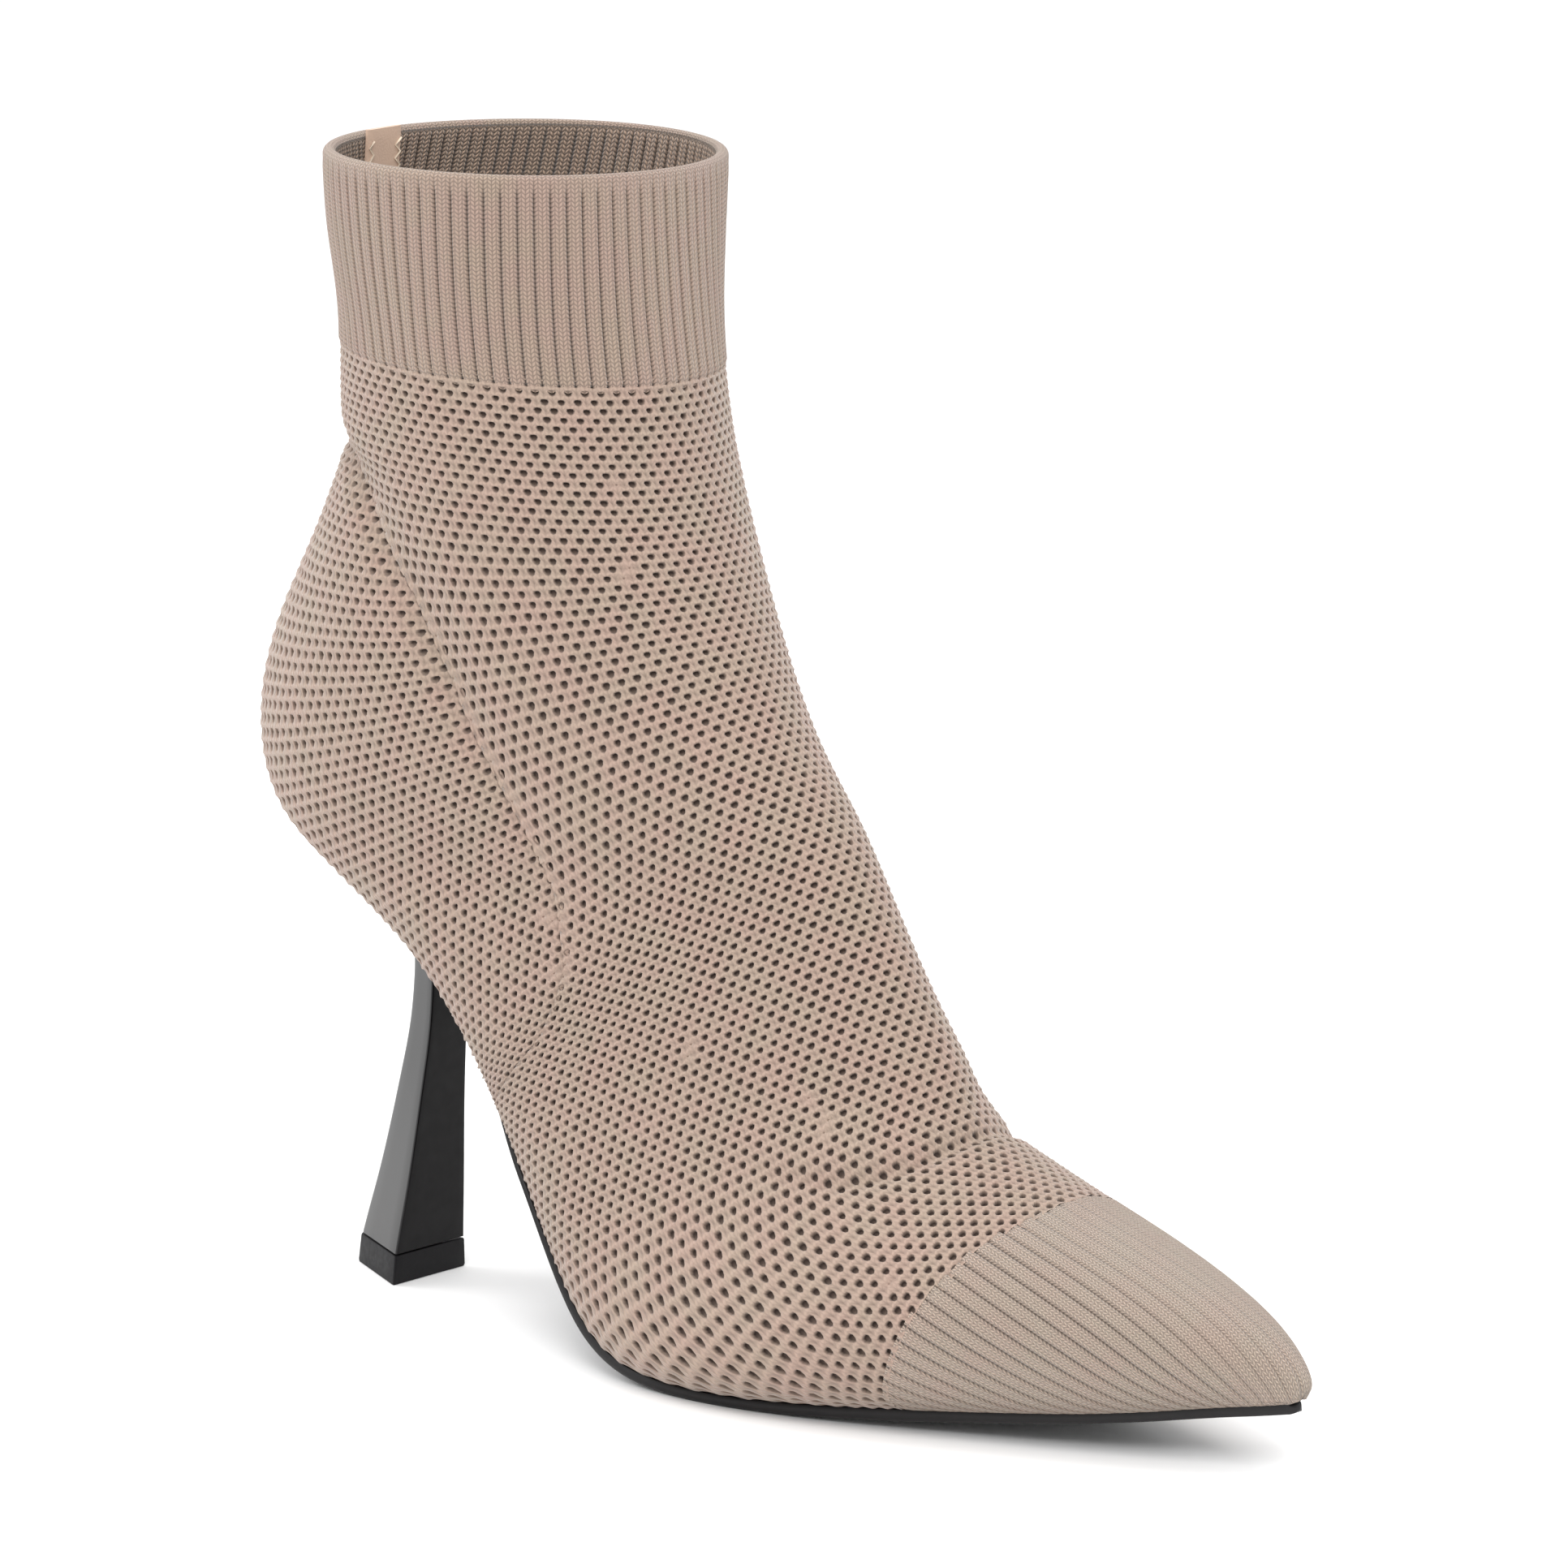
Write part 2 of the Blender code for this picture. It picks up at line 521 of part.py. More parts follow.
def build_seam_tape():
    """The tape over the back seam, inside the cuff, a little proud of the rim."""
    inside = INNER - NORMALS * GAP
    depths = np.linspace(0, TAPE_LENGTH, TAPE_RINGS)
    back_levels = BASE[:CUFF_RINGS, COLUMNS // 2, 2]
    collar_level = SECTIONS[0][1]
    columns_per_metre = 1 / np.linalg.norm(INNER[0, COLUMNS // 2] - INNER[0, COLUMNS // 2 + 1])
    near, far = [], []
    for depth in depths:
        position = np.interp(-(collar_level - depth), -back_levels, np.arange(CUFF_RINGS))
        lift = np.array((0, 0, RIM_RISE + TAPE_PROUD if depth == 0 else 0))
        near_row, far_row = [], []
        for across in TAPE_ACROSS:
            column = COLUMNS / 2 + across * TAPE_WIDTH / 2 * columns_per_metre
            left = int(column)
            part = column - left
            for grid, out in ((inside, near_row), (inside - NORMALS * TAPE_THICKNESS, far_row)):
                line = at_ring(grid, position)
                out.append(line[left] * (1 - part) + line[left + 1] * part + lift)
        near.append(near_row)
        far.append(far_row)
    slab("seam_tape", near, far, TAPE_BEIGE, 0.8)


for thing in list(bpy.data.objects):
    bpy.data.objects.remove(thing)
build_upper()
build_insole()
build_outsole()
build_heel()
build_top_lift()
build_seam_tape()
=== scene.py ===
"""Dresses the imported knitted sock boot: openwork knit, ribbed cuff and toe, lining, sole and heel."""
import math

import bpy
import numpy as np
from mathutils import Matrix, Vector


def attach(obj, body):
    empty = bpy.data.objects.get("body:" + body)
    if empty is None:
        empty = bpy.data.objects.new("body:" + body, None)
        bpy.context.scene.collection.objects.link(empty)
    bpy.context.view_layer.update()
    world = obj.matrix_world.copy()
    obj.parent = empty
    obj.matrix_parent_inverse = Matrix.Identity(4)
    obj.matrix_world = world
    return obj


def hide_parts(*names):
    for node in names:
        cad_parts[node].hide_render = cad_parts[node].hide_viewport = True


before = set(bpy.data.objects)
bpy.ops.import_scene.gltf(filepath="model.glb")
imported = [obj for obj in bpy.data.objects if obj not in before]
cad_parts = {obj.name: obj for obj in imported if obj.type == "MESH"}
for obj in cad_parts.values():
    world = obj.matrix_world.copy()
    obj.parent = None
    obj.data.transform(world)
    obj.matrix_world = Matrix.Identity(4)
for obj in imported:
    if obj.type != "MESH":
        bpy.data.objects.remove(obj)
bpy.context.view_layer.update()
MM = 0.001

# Sizes of the last, as in the part
FOOT_LENGTH = 0.241
BALL_WIDTH = 0.079
COLLAR_LENGTH = 0.0692
COLLAR_WIDTH = 0.0785
INSTEP_DEPTH = 0.044
HEEL_RISE = 0.0823
SHAFT_HEIGHT = 0.1325
TOE_SPRING = 0.011
KNIT_LEVEL = 0.0028
FEATHER_ANGLE = math.radians(130)
MIDDLE = (0.119391, 0.000525, 0)     # the part's origin, measured from the back of the last

# up, back, collar, foot, rise, collar half, ball half, widest, low, flat
SHAFT = [
    (1.000, 0.097, 1.000, 0.000, -0.03, 1.00, 0.00, 0.50, 2.0, 0.0),
    (0.890, 0.094, 1.028, 0.000, -0.06, 0.93, 0.00, 0.50, 2.0, 0.0),
    (0.770, 0.096, 1.052, 0.000, -0.07, 0.85, 0.00, 0.50, 2.0, 0.0),
    (0.635, 0.094, 1.118, 0.000, -0.09, 0.83, 0.00, 0.50, 2.0, 0.0),
    (0.534, 0.087, 1.240, 0.000, -0.19, 0.81, 0.00, 0.50, 2.0, 0.0),
    (0.373, 0.035, 0.800, 0.219, -0.14, 0.45, 0.36, 0.45, 2.0, 0.0),
    (0.211, 0.000, 0.400, 0.408, 0.01, 0.15, 0.65, 0.40, 2.0, 0.0),
    (0.081, 0.011, 0.000, 0.553, 0.14, 0.00, 0.76, 0.36, 2.1, 0.1),
]

# back, up, spring, reach, rise, half, widest, low, high, swing, flat
FOOT = [
    (0.071, 1.000, 0.00, 0.526, 0.13, 0.700, 0.33, 2.3, 2.0, 0.00, 0.4),
    (0.178, 0.848, 0.00, 0.445, 0.19, 0.696, 0.32, 2.5, 1.9, 0.00, 0.7),
    (0.262, 0.648, 0.00, 0.390, 0.31, 0.700, 0.32, 2.7, 1.9, 0.00, 0.9),
    (0.337, 0.369, 0.00, 0.339, 0.65, 0.760, 0.31, 2.8, 1.8, 0.00, 1.0),
    (0.415, 0.092, 0.00, 0.279, 0.98, 0.904, 0.30, 2.8, 1.8, 0.00, 1.0),
    (0.497, 0.000, 0.00, 0.243, 1.00, 1.000, 0.29, 2.8, 1.8, 0.03, 1.0),
    (0.604, 0.000, 0.00, 0.202, 0.87, 0.911, 0.28, 2.8, 1.8, 0.05, 1.0),
    (0.723, 0.000, 0.20, 0.156, 0.68, 0.663, 0.28, 2.8, 1.9, 0.08, 1.0),
    (0.838, 0.000, 0.46, 0.116, 0.43, 0.387, 0.30, 2.7, 2.0, 0.10, 1.0),
    (0.913, 0.000, 0.72, 0.076, 0.18, 0.185, 0.35, 2.5, 2.0, 0.13, 1.0),
    (0.956, 0.000, 0.91, 0.033, 0.06, 0.125, 0.42, 2.4, 2.0, 0.13, 1.0),
    (0.979, 0.000, 1.00, 0.008, 0.01, 0.060, 0.50, 2.2, 2.0, 0.13, 1.0),
]

# Knit: mm between ribs or holes round the shoe, and between rows of holes down it
RIB = 3.0 * MM
ROW = 1.65 * MM
CUFF_HEIGHT = 37.5 * MM
CUFF_PROUD = 0.4 * MM
CUFF_WALL = 2.4 * MM
RIM_BAND = 1.3 * MM
RIM_RISE = 1.2 * MM
WALL = 1.8 * MM
PIT = 0.85 * MM
GAP = 0.3 * MM
SOLE_STARTS = 9.35                   # section
CLOSED_SEAT = math.pi
TURNED_UNDER = math.radians(160)
LAST_SECTION = len(SHAFT) + len(FOOT) - 1


def shaft_section(row):
    up, back, collar, foot, rise, collar_half, ball_half, widest, low, flat = row
    start = back * FOOT_LENGTH
    level = KNIT_LEVEL + HEEL_RISE + up * SHAFT_HEIGHT
    depth = collar * COLLAR_LENGTH + foot * FOOT_LENGTH
    half = (collar_half * COLLAR_WIDTH + ball_half * BALL_WIDTH) / 2
    return start, level, start + depth, level + rise * INSTEP_DEPTH, half, widest, low, 2.0, 0.0, flat


def foot_section(row):
    back, up, spring, reach, rise, half, widest, low, high, swing, flat = row
    start = back * FOOT_LENGTH
    level = KNIT_LEVEL + up * HEEL_RISE + spring * TOE_SPRING
    return (start, level, start + reach * FOOT_LENGTH, level + rise * INSTEP_DEPTH,
            half * BALL_WIDTH / 2, widest, low, high, swing * BALL_WIDTH / 2, flat)


def second_slopes(knots):
    """The bend of a natural cubic spline at each of its knots."""
    count = len(knots)
    system = np.eye(count)
    bend = np.zeros_like(knots)
    for i in range(1, count - 1):
        system[i, i - 1:i + 2] = (1, 4, 1)
        bend[i] = 6 * (knots[i - 1] - 2 * knots[i] + knots[i + 1])
    return np.linalg.solve(system, bend)


SECTIONS = np.array([shaft_section(r) for r in SHAFT] + [foot_section(r) for r in FOOT])
SECTION_BEND = second_slopes(SECTIONS)


def spline(knots, bend, at):
    i = np.clip(np.asarray(at).astype(int), 0, len(knots) - 2)
    f = (at - i)[..., None]
    g = 1 - f
    return g * knots[i] + f * knots[i + 1] + (g ** 3 - g) * bend[i] / 6 + (f ** 3 - f) * bend[i + 1] / 6


def last_surface(row, angle):
    """A point of the last at a section number and an angle round it from the ridge."""
    values = spline(SECTIONS, SECTION_BEND, np.clip(row, 0, LAST_SECTION))
    back, level, front, front_level, half, widest, low, high, swing, flat = np.moveaxis(values, -1, 0)
    c, s = np.cos(angle), np.sin(angle)
    power = 2 / np.where(c >= 0, high, low)
    along = np.sign(c) * np.abs(c) ** power
    across = np.sign(s) * np.abs(s) ** power
    share = np.where(along >= 0, widest + (1 - widest) * along, widest + widest * along)
    feather = widest - widest * abs(math.cos(FEATHER_ANGLE)) ** (2 / low)
    share = np.where(share < feather, feather + (1 - flat) * (share - feather), share)
    share = (share - flat * feather) / (1 - flat * feather)
    points = np.stack([back + (front - back) * share, swing - half * across,
                       level + (front_level - level) * share], -1)
    return points - MIDDLE


def last_normal(row, angle):
    small = 0.01
    along = last_surface(row + small, angle) - last_surface(row - small, angle)
    around = last_surface(row, angle + small) - last_surface(row, angle - small)
    normal = np.cross(around, along)
    return normal / np.maximum(np.linalg.norm(normal, axis=-1, keepdims=True), 1e-12)


def smooth(value, low, high):
    """0 below low, 1 above high, and a soft step between."""
    share = np.clip((np.asarray(value) - low) / (high - low), 0, 1)
    return share * share * (3 - 2 * share)


# Courses of the knit lie level round the shaft, and turn square to the ridge from the ankle to the toe's tip.
ridge_rows = np.linspace(0, LAST_SECTION, 1601)
ridge = last_surface(ridge_rows, np.zeros_like(ridge_rows))[:, [0, 2]]
ridge_run = np.r_[0, np.cumsum(np.linalg.norm(np.diff(ridge, axis=0), axis=1))]
STEP = 0.5 * MM
runs = np.arange(0, ridge_run[-1], STEP)
ridge_x = np.interp(runs, ridge_run, ridge[:, 0])
ridge_z = np.interp(runs, ridge_run, ridge[:, 1])
slope = np.unwrap(np.arctan2(np.gradient(ridge_z), np.gradient(ridge_x)))
TIP_HOLD = int(22 * MM / STEP)
slope[-TIP_HOLD:] = slope[-TIP_HOLD]
LEVEL_COURSES = math.radians(-84)
blur = np.exp(-0.5 * (np.arange(-60, 61) * STEP / (9 * MM)) ** 2)
padded = np.r_[np.full(60, slope[:30].mean()), slope, np.full(60, slope[-1])]
slope = np.convolve(padded, blur / blur.sum(), "same")[60:-60]
slope += (LEVEL_COURSES - slope) * (1 - smooth(runs, 48 * MM, 112 * MM))
way = np.stack([np.cos(slope), np.sin(slope)], -1)


def course_of(points):
    """How far down the ridge the square plane through each point stands."""
    ahead = (points[:, 0, None] - ridge_x) * way[:, 0] + (points[:, 2, None] - ridge_z) * way[:, 1]
    passes = (ahead[:, :-1] > 0) & (ahead[:, 1:] <= 0)
    k = np.argmax(passes, 1)
    pick = np.arange(len(points))
    before, after = ahead[pick, k], ahead[pick, k + 1]
    found = runs[k] + STEP * before / (before - after + 1e-15)
    outside = np.where(ahead[:, 0] < 0, ahead[:, 0], runs[-1] + ahead[:, -1])
    return np.where(passes.any(1), found, outside)


# Creases, in mm of the knit itself: down the ridge from the collar, and round from the ridge.
ANKLE_PULL = [(48, 114), (58.8, 84.2), (62.2, 78.8), (66.4, 74), (74, 66), (82.5, 62), (89, 60.5), (95, 58.5),
              (101, 57), (109, 57), (120, 62), (130, 74), (142, 110)]
VAMP_BREAK = [(0, 186.6), (7, 186.5), (14, 186), (21, 184.6), (28, 182.2), (36, 178), (45, 172), (60, 160)]
pull_down, pull_round = np.array(ANKLE_PULL).T * MM
break_round, break_down = np.array(VAMP_BREAK).T * MM


def pull_line(down):
    return np.interp(down, pull_down, pull_round)


def creases(down, round_, outer):
    """How far the knit stands out of the last, negative in a crease."""
    share = 1.0 if outer else 0.7
    slant = (pull_line(down + MM) - pull_line(down - MM)) / (2 * MM)
    off = (round_ - pull_line(down)) / np.sqrt(1 + slant ** 2)
    fade = smooth(down, 50 * MM, 60 * MM) * (1 - smooth(down, 80 * MM, 114 * MM))
    trough = np.exp(-(off / np.where(off > 0, 3 * MM, 6 * MM)) ** 2)
    pocket = np.exp(-((off - 14 * MM) / (12 * MM)) ** 2)
    roll = np.exp(-((off + 13 * MM) / (7 * MM)) ** 2)
    out = fade * share * (-2.4 * trough + 0.9 * pocket + 0.6 * roll)
    off = down - np.interp(round_, break_round, break_down)
    fade = 1 - smooth(round_, 26 * MM, 50 * MM)
    trough = np.exp(-(off / np.where(off > 0, 1.1 * MM, 1.8 * MM)) ** 2)
    above = np.exp(-((off + 5 * MM) / (4.5 * MM)) ** 2)
    below = np.exp(-((off - 6 * MM) / (5 * MM)) ** 2)
    out += fade * share * (-1.4 * trough + 0.8 * above + 0.1 * below)
    fade = smooth(down, 16 * MM, 34 * MM) * (1 - smooth(down, 56 * MM, 80 * MM))
    out += fade * share * 0.45 * np.exp(-((round_ - 51 * MM) / (5 * MM)) ** 2)
    return out * MM


class KnitSide:
    """One side of the knit as a table of places: rows down the ridge, columns round from it."""

    def __init__(self, outer):
        sign = 1 if outer else -1
        angles = np.linspace(0, math.pi, 181)
        rows = np.linspace(0, LAST_SECTION, 571)
        shaft_run = np.interp(rows, ridge_rows, ridge_run)
        downs = np.zeros((len(rows), len(angles)))
        for c, angle in enumerate(angles):
            square = course_of(last_surface(rows, np.full_like(rows, sign * angle)))
            square = shaft_run if c == 0 else square
            # The first course follows the cuff's edge; the difference fades out down the ankle.
            differs = CUFF_HEIGHT - np.interp(CUFF_HEIGHT, shaft_run, square)
            square = square + differs * (1 - smooth(square, CUFF_HEIGHT, 118 * MM))
            down = np.where(shaft_run <= CUFF_HEIGHT, shaft_run, np.maximum(square, CUFF_HEIGHT))
            downs[:, c] = np.maximum.accumulate(down) + rows * 1e-9
        self.down = np.arange(0, ridge_run[-1] - 0.2 * MM, 0.5 * MM)
        at = np.array([np.interp(self.down, downs[:, c], rows) for c in range(len(angles))]).T
        line = last_surface(at, np.broadcast_to(sign * angles, at.shape))
        lengths = np.cumsum(np.linalg.norm(np.diff(line, axis=1), axis=2), axis=1)
        lengths = np.hstack([np.zeros((len(at), 1)), lengths])
        ends = np.where(at[:, 150] > SOLE_STARTS, TURNED_UNDER, CLOSED_SEAT)
        self.end = np.array([np.interp(e, angles, n) for e, n in zip(ends, lengths)])
        self.feather = np.array([np.interp(FEATHER_ANGLE, angles, n) for n in lengths])
        self.round = np.arange(0, self.end.max() + MM, 0.75 * MM)
        angle = np.array([np.interp(np.minimum(self.round, e), n, angles) for e, n in zip(self.end, lengths)])
        row = np.array([np.interp(a, angles, r) for a, r in zip(angle, at)])
        out = creases(self.down[:, None], np.minimum(self.round[None], self.end[:, None]), outer)
        self.normal = last_normal(row, sign * angle)
        self.place = last_surface(row, sign * angle) + self.normal * out[..., None]

    def read(self, table, down, round_):
        j = np.clip(down / (self.down[1]), 0, len(self.down) - 1.001)
        i = np.clip(round_ / (self.round[1]), 0, len(self.round) - 1.001)
        j0, i0 = j.astype(int), i.astype(int)
        fj, fi = (j - j0)[..., None], (i - i0)[..., None]
        near = table[j0, i0] * (1 - fi) + table[j0, i0 + 1] * fi
        far = table[j0 + 1, i0] * (1 - fi) + table[j0 + 1, i0 + 1] * fi
        return near * (1 - fj) + far * fj

    def end_at(self, down):
        return np.interp(down, self.down, self.end)

    def feather_at(self, down):
        return np.interp(down, self.down, self.feather)


OUTER, INNER = KnitSide(True), KnitSide(False)
KNIT_RUN = OUTER.down[-1]


def knit_place(down, round_, out=0.0):
    """A place on the knit: down the ridge, round from it (outer side positive), and out of the wall."""
    down, round_, out = np.broadcast_arrays(down, round_, out)
    places, normals = [], []
    for side, way_round in ((OUTER, round_), (INNER, -round_)):
        limit = np.minimum(np.maximum(way_round, 0), side.end_at(down))
        places.append(side.read(side.place, down, limit))
        normals.append(side.read(side.normal, down, limit))
    first = (round_ >= 0)[..., None]
    normal = np.where(first, normals[0], normals[1])
    normal /= np.maximum(np.linalg.norm(normal, axis=-1, keepdims=True), 1e-9)
    return np.where(first, places[0], places[1]) + normal * out[..., None]


def ends(down):
    """The knit's two edges, on the inner and outer side, at each place down the ridge."""
    return -INNER.end_at(down), OUTER.end_at(down)


# Where the ribbed toe starts: round from the ridge, down the ridge
TOE_BORDER = [(0, 209), (10, 208), (24, 204.5), (42, 203), (56, 203.2), (90, 203.5)]
border_round, border_down = np.array(TOE_BORDER).T * MM


def toe_starts(round_):
    return np.interp(np.abs(round_), border_round, border_down)


pieces = {}


def make_piece(name, points, faces, material, smooth_shading=True, extra=None):
    """A mesh piece that rides on the part; extra holds point values that its material reads."""
    mesh = bpy.data.meshes.new(name)
    mesh.from_pydata(np.asarray(points).tolist(), [], [tuple(f) for f in faces])
    mesh.validate()
    if extra:
        for key, values in extra.items():
            if key == "knit_mm":
                layer = mesh.uv_layers.new(name=key)
                loops = np.zeros(len(mesh.loops), dtype=np.int32)
                mesh.loops.foreach_get("vertex_index", loops)
                layer.data.foreach_set("uv", np.asarray(values, dtype=np.float32)[loops].ravel())
            else:
                layer = mesh.attributes.new(key, "FLOAT", "POINT")
                layer.data.foreach_set("value", np.asarray(values, dtype=np.float32))
    mesh.polygons.foreach_set("use_smooth", np.full(len(mesh.polygons), smooth_shading))
    mesh.materials.append(material)
    thing = bpy.data.objects.new(name, mesh)
    bpy.context.scene.collection.objects.link(thing)
    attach(thing, "root")
    pieces[name] = thing
    return thing


def linear(colour):
    """A hex colour as it is written for a screen, turned to the linear light that shaders use."""
    parts = [int(colour[i:i + 2], 16) / 255 for i in (1, 3, 5)]
    return tuple(p / 12.92 if p <= 0.04045 else ((p + 0.055) / 1.055) ** 2.4 for p in parts) + (1.0,)


def add_node(tree, kind, settings=None, values=None, links=None):
    """Adds one node with its settings, the values of its sockets and the links into them."""
    node = tree.nodes.new(kind)
    for key, value in (settings or {}).items():
        setattr(node, key, value)
    for key, value in (values or {}).items():
        node.inputs[key].default_value = value
    for key, source in (links or {}).items():
        tree.links.new(source, node.inputs[key])
    return node


def start_material(name, **sockets):
    material = bpy.data.materials.new(name)
    material.use_nodes = True
    tree = material.node_tree
    shader = tree.nodes["Principled BSDF"]
    for key, value in sockets.items():
        shader.inputs[key.replace("_", " ").capitalize() if key not in SOCKETS else SOCKETS[key]].default_value = value
    return material, tree, shader


SOCKETS = {"colour": "Base Color", "roughness": "Roughness", "sheen": "Sheen Weight",
           "sheen_roughness": "Sheen Roughness", "coat": "Coat Weight", "coat_roughness": "Coat Roughness",
           "ior": "IOR", "specular": "Specular IOR Level"}


def calc(tree, operation, a, b=None):
    """One sum on the numbers or sockets a and b."""
    values = {i: v for i, v in enumerate((a, b)) if isinstance(v, (int, float))}
    links = {i: v for i, v in enumerate((a, b)) if v is not None and not isinstance(v, (int, float))}
    return add_node(tree, "ShaderNodeMath", {"operation": operation}, values, links).outputs[0]


def blend_colours(tree, share, a, b):
    """Mixes two colours, each a socket or a linear colour, by a share that varies."""
    node = add_node(tree, "ShaderNodeMix", {"data_type": "RGBA"}, {}, {"Factor": share})
    for index, colour in ((6, a), (7, b)):
        if isinstance(colour, tuple):
            node.inputs[index].default_value = colour
        else:
            tree.links.new(colour, node.inputs[index])
    return node.outputs[2]


def knitted_yarn(name, light, warm, deep, wale, stitch, relief, shadow, dotted=0.0, roughness=0.86):
    """Spun yarn knitted in V stitches: matt, softly furred, each stitch a small slanting loop, with painted shade
    between the loops and in holes and grooves.
    """
    material, tree, shader = start_material(name, roughness=roughness, sheen=0.25, sheen_roughness=0.5)
    uv = add_node(tree, "ShaderNodeUVMap", {"uv_map": "knit_mm"})
    place = add_node(tree, "ShaderNodeSeparateXYZ", links={0: uv.outputs[0]})
    across, down = place.outputs[0], place.outputs[1]
    # One wale is two legs that lean towards its middle.
    leg = calc(tree, "ABSOLUTE", calc(tree, "SUBTRACT", calc(tree, "FRACT", calc(tree, "DIVIDE", across, wale)), 0.5))
    phase = calc(tree, "SUBTRACT", calc(tree, "DIVIDE", down, stitch), calc(tree, "MULTIPLY", leg, 1.5))
    loop = calc(tree, "ABSOLUTE", calc(tree, "SINE", calc(tree, "MULTIPLY", phase, math.pi)))
    body = calc(tree, "SINE", calc(tree, "MULTIPLY", leg, 2 * math.pi))
    height = calc(tree, "MULTIPLY", calc(tree, "POWER", loop, 0.7), calc(tree, "POWER", calc(tree, "ABSOLUTE", body), 0.6))
    spot = add_node(tree, "ShaderNodeTexCoord")
    fibre = add_node(tree, "ShaderNodeTexNoise", {}, {"Scale": 3200.0, "Detail": 3.0}, {"Vector": spot.outputs["Object"]})
    height = calc(tree, "ADD", height, calc(tree, "MULTIPLY", fibre.outputs[0], 0.35))
    bump = add_node(tree, "ShaderNodeBump", {}, {"Strength": 1.0, "Distance": relief}, {"Height": height})
    tree.links.new(bump.outputs[0], shader.inputs["Normal"])
    patch = add_node(tree, "ShaderNodeTexNoise", {}, {"Scale": 130.0, "Detail": 2.0}, {"Vector": spot.outputs["Object"]})
    share = add_node(tree, "ShaderNodeMapRange", {}, {"From Min": 0.35, "From Max": 0.65}, {"Value": patch.outputs[0]})
    yarn = blend_colours(tree, share.outputs[0], linear(light), linear(warm))
    # Painted shade: the yarn darkens towards the colour deep between the loops, where the stitch is low.
    shade = calc(tree, "MULTIPLY", calc(tree, "SUBTRACT", 1.0, calc(tree, "MINIMUM", height, 1.0)), shadow)
    yarn = blend_colours(tree, shade, yarn, linear(deep))
    # Painted shade from the point values depth, towards the colour deep: in holes, grooves and dimples, broken into
    # dots along the stitches by dotted.
    depth = add_node(tree, "ShaderNodeAttribute", {"attribute_name": "depth"})
    painted_gap_shade = calc(tree, "MULTIPLY", depth.outputs["Fac"], calc(tree, "SUBTRACT", 1.0, calc(tree, "MULTIPLY", loop, dotted)))
    tree.links.new(blend_colours(tree, painted_gap_shade, yarn, linear(deep)), shader.inputs["Base Color"])
    return material


# Wale and stitch sizes are in mm on the shoe.
BEIGE_KNIT = knitted_yarn("beige_viscose_yarn_openwork_knit", "#978576", "#9A8376", "#2B1B13", 1.5, 0.825, 0.07 * MM, 0.16)
RIB_KNIT = knitted_yarn("beige_viscose_yarn_rib_knit", "#998676", "#9B8477", "#281910", 1.5, 0.82, 0.22 * MM, 0.60, 0.55)
TOE_KNIT = knitted_yarn("beige_viscose_yarn_close_toe_rib", "#AC9B8B", "#AE998A", "#36241A", 1.0, 0.80, 0.34 * MM, 0.62, 0.5)
INSIDE_KNIT = knitted_yarn("brown_backed_yarn_inside_of_rib", "#A38C79", "#A18876", "#1C110B", 1.5, 0.88, 0.40 * MM, 0.95)
LINING = knitted_yarn("beige_nylon_tricot_lining", "#8E7B6C", "#8C7667", "#3A281E", 0.9, 0.9, 0.05 * MM, 0.3)


def weld(keys):
    """Numbers points so that equal keys share one point."""
    _, first, number = np.unique(keys, axis=0, return_index=True, return_inverse=True)
    return first, number.ravel()


# One hole of the openwork, in mm from its middle: round, down. Flat above and pointed below.
HOLE = np.array([(-0.46, -0.40), (0, -0.47), (0.46, -0.40), (0.62, -0.10),
                 (0.38, 0.33), (0, 0.50), (-0.38, 0.33), (-0.62, -0.10)]) * MM
BRICK = np.array([(0, 0), (0.5, 0), (1, 0), (1, 0.5), (1, 1), (0.5, 1), (0, 1), (0, 0.5)])
CHUNK_OUT = np.array([0.06, 0.34, 0.06, -0.10, 0.34, 0.06, 0.34, -0.10]) * MM
# Painted shade at each brick's points: dark dots in the dimples at its sides.
CHUNK_PAINTED_SHADE = np.array([0.10, 0.0, 0.10, 0.42, 0.0, 0.10, 0.0, 0.42])
# Painted shade in each hole's pit: darkest under its top, paler towards its point.
PIT_PAINTED_SHADE = np.array([1.0, 1.0, 1.0, 0.9, 0.55, 0.45, 0.55, 0.9])
HOLE_RIM = np.array([0.20, 0.30, 0.20, 0.04, 0.16, 0.10, 0.16, 0.04]) * MM
SLUBS = [(54, 18), (71, 20.5), (112, 60.4), (167.3, 28.2), (173.7, 25.6), (197.7, 35.5), (121, 64), (150, 44)]


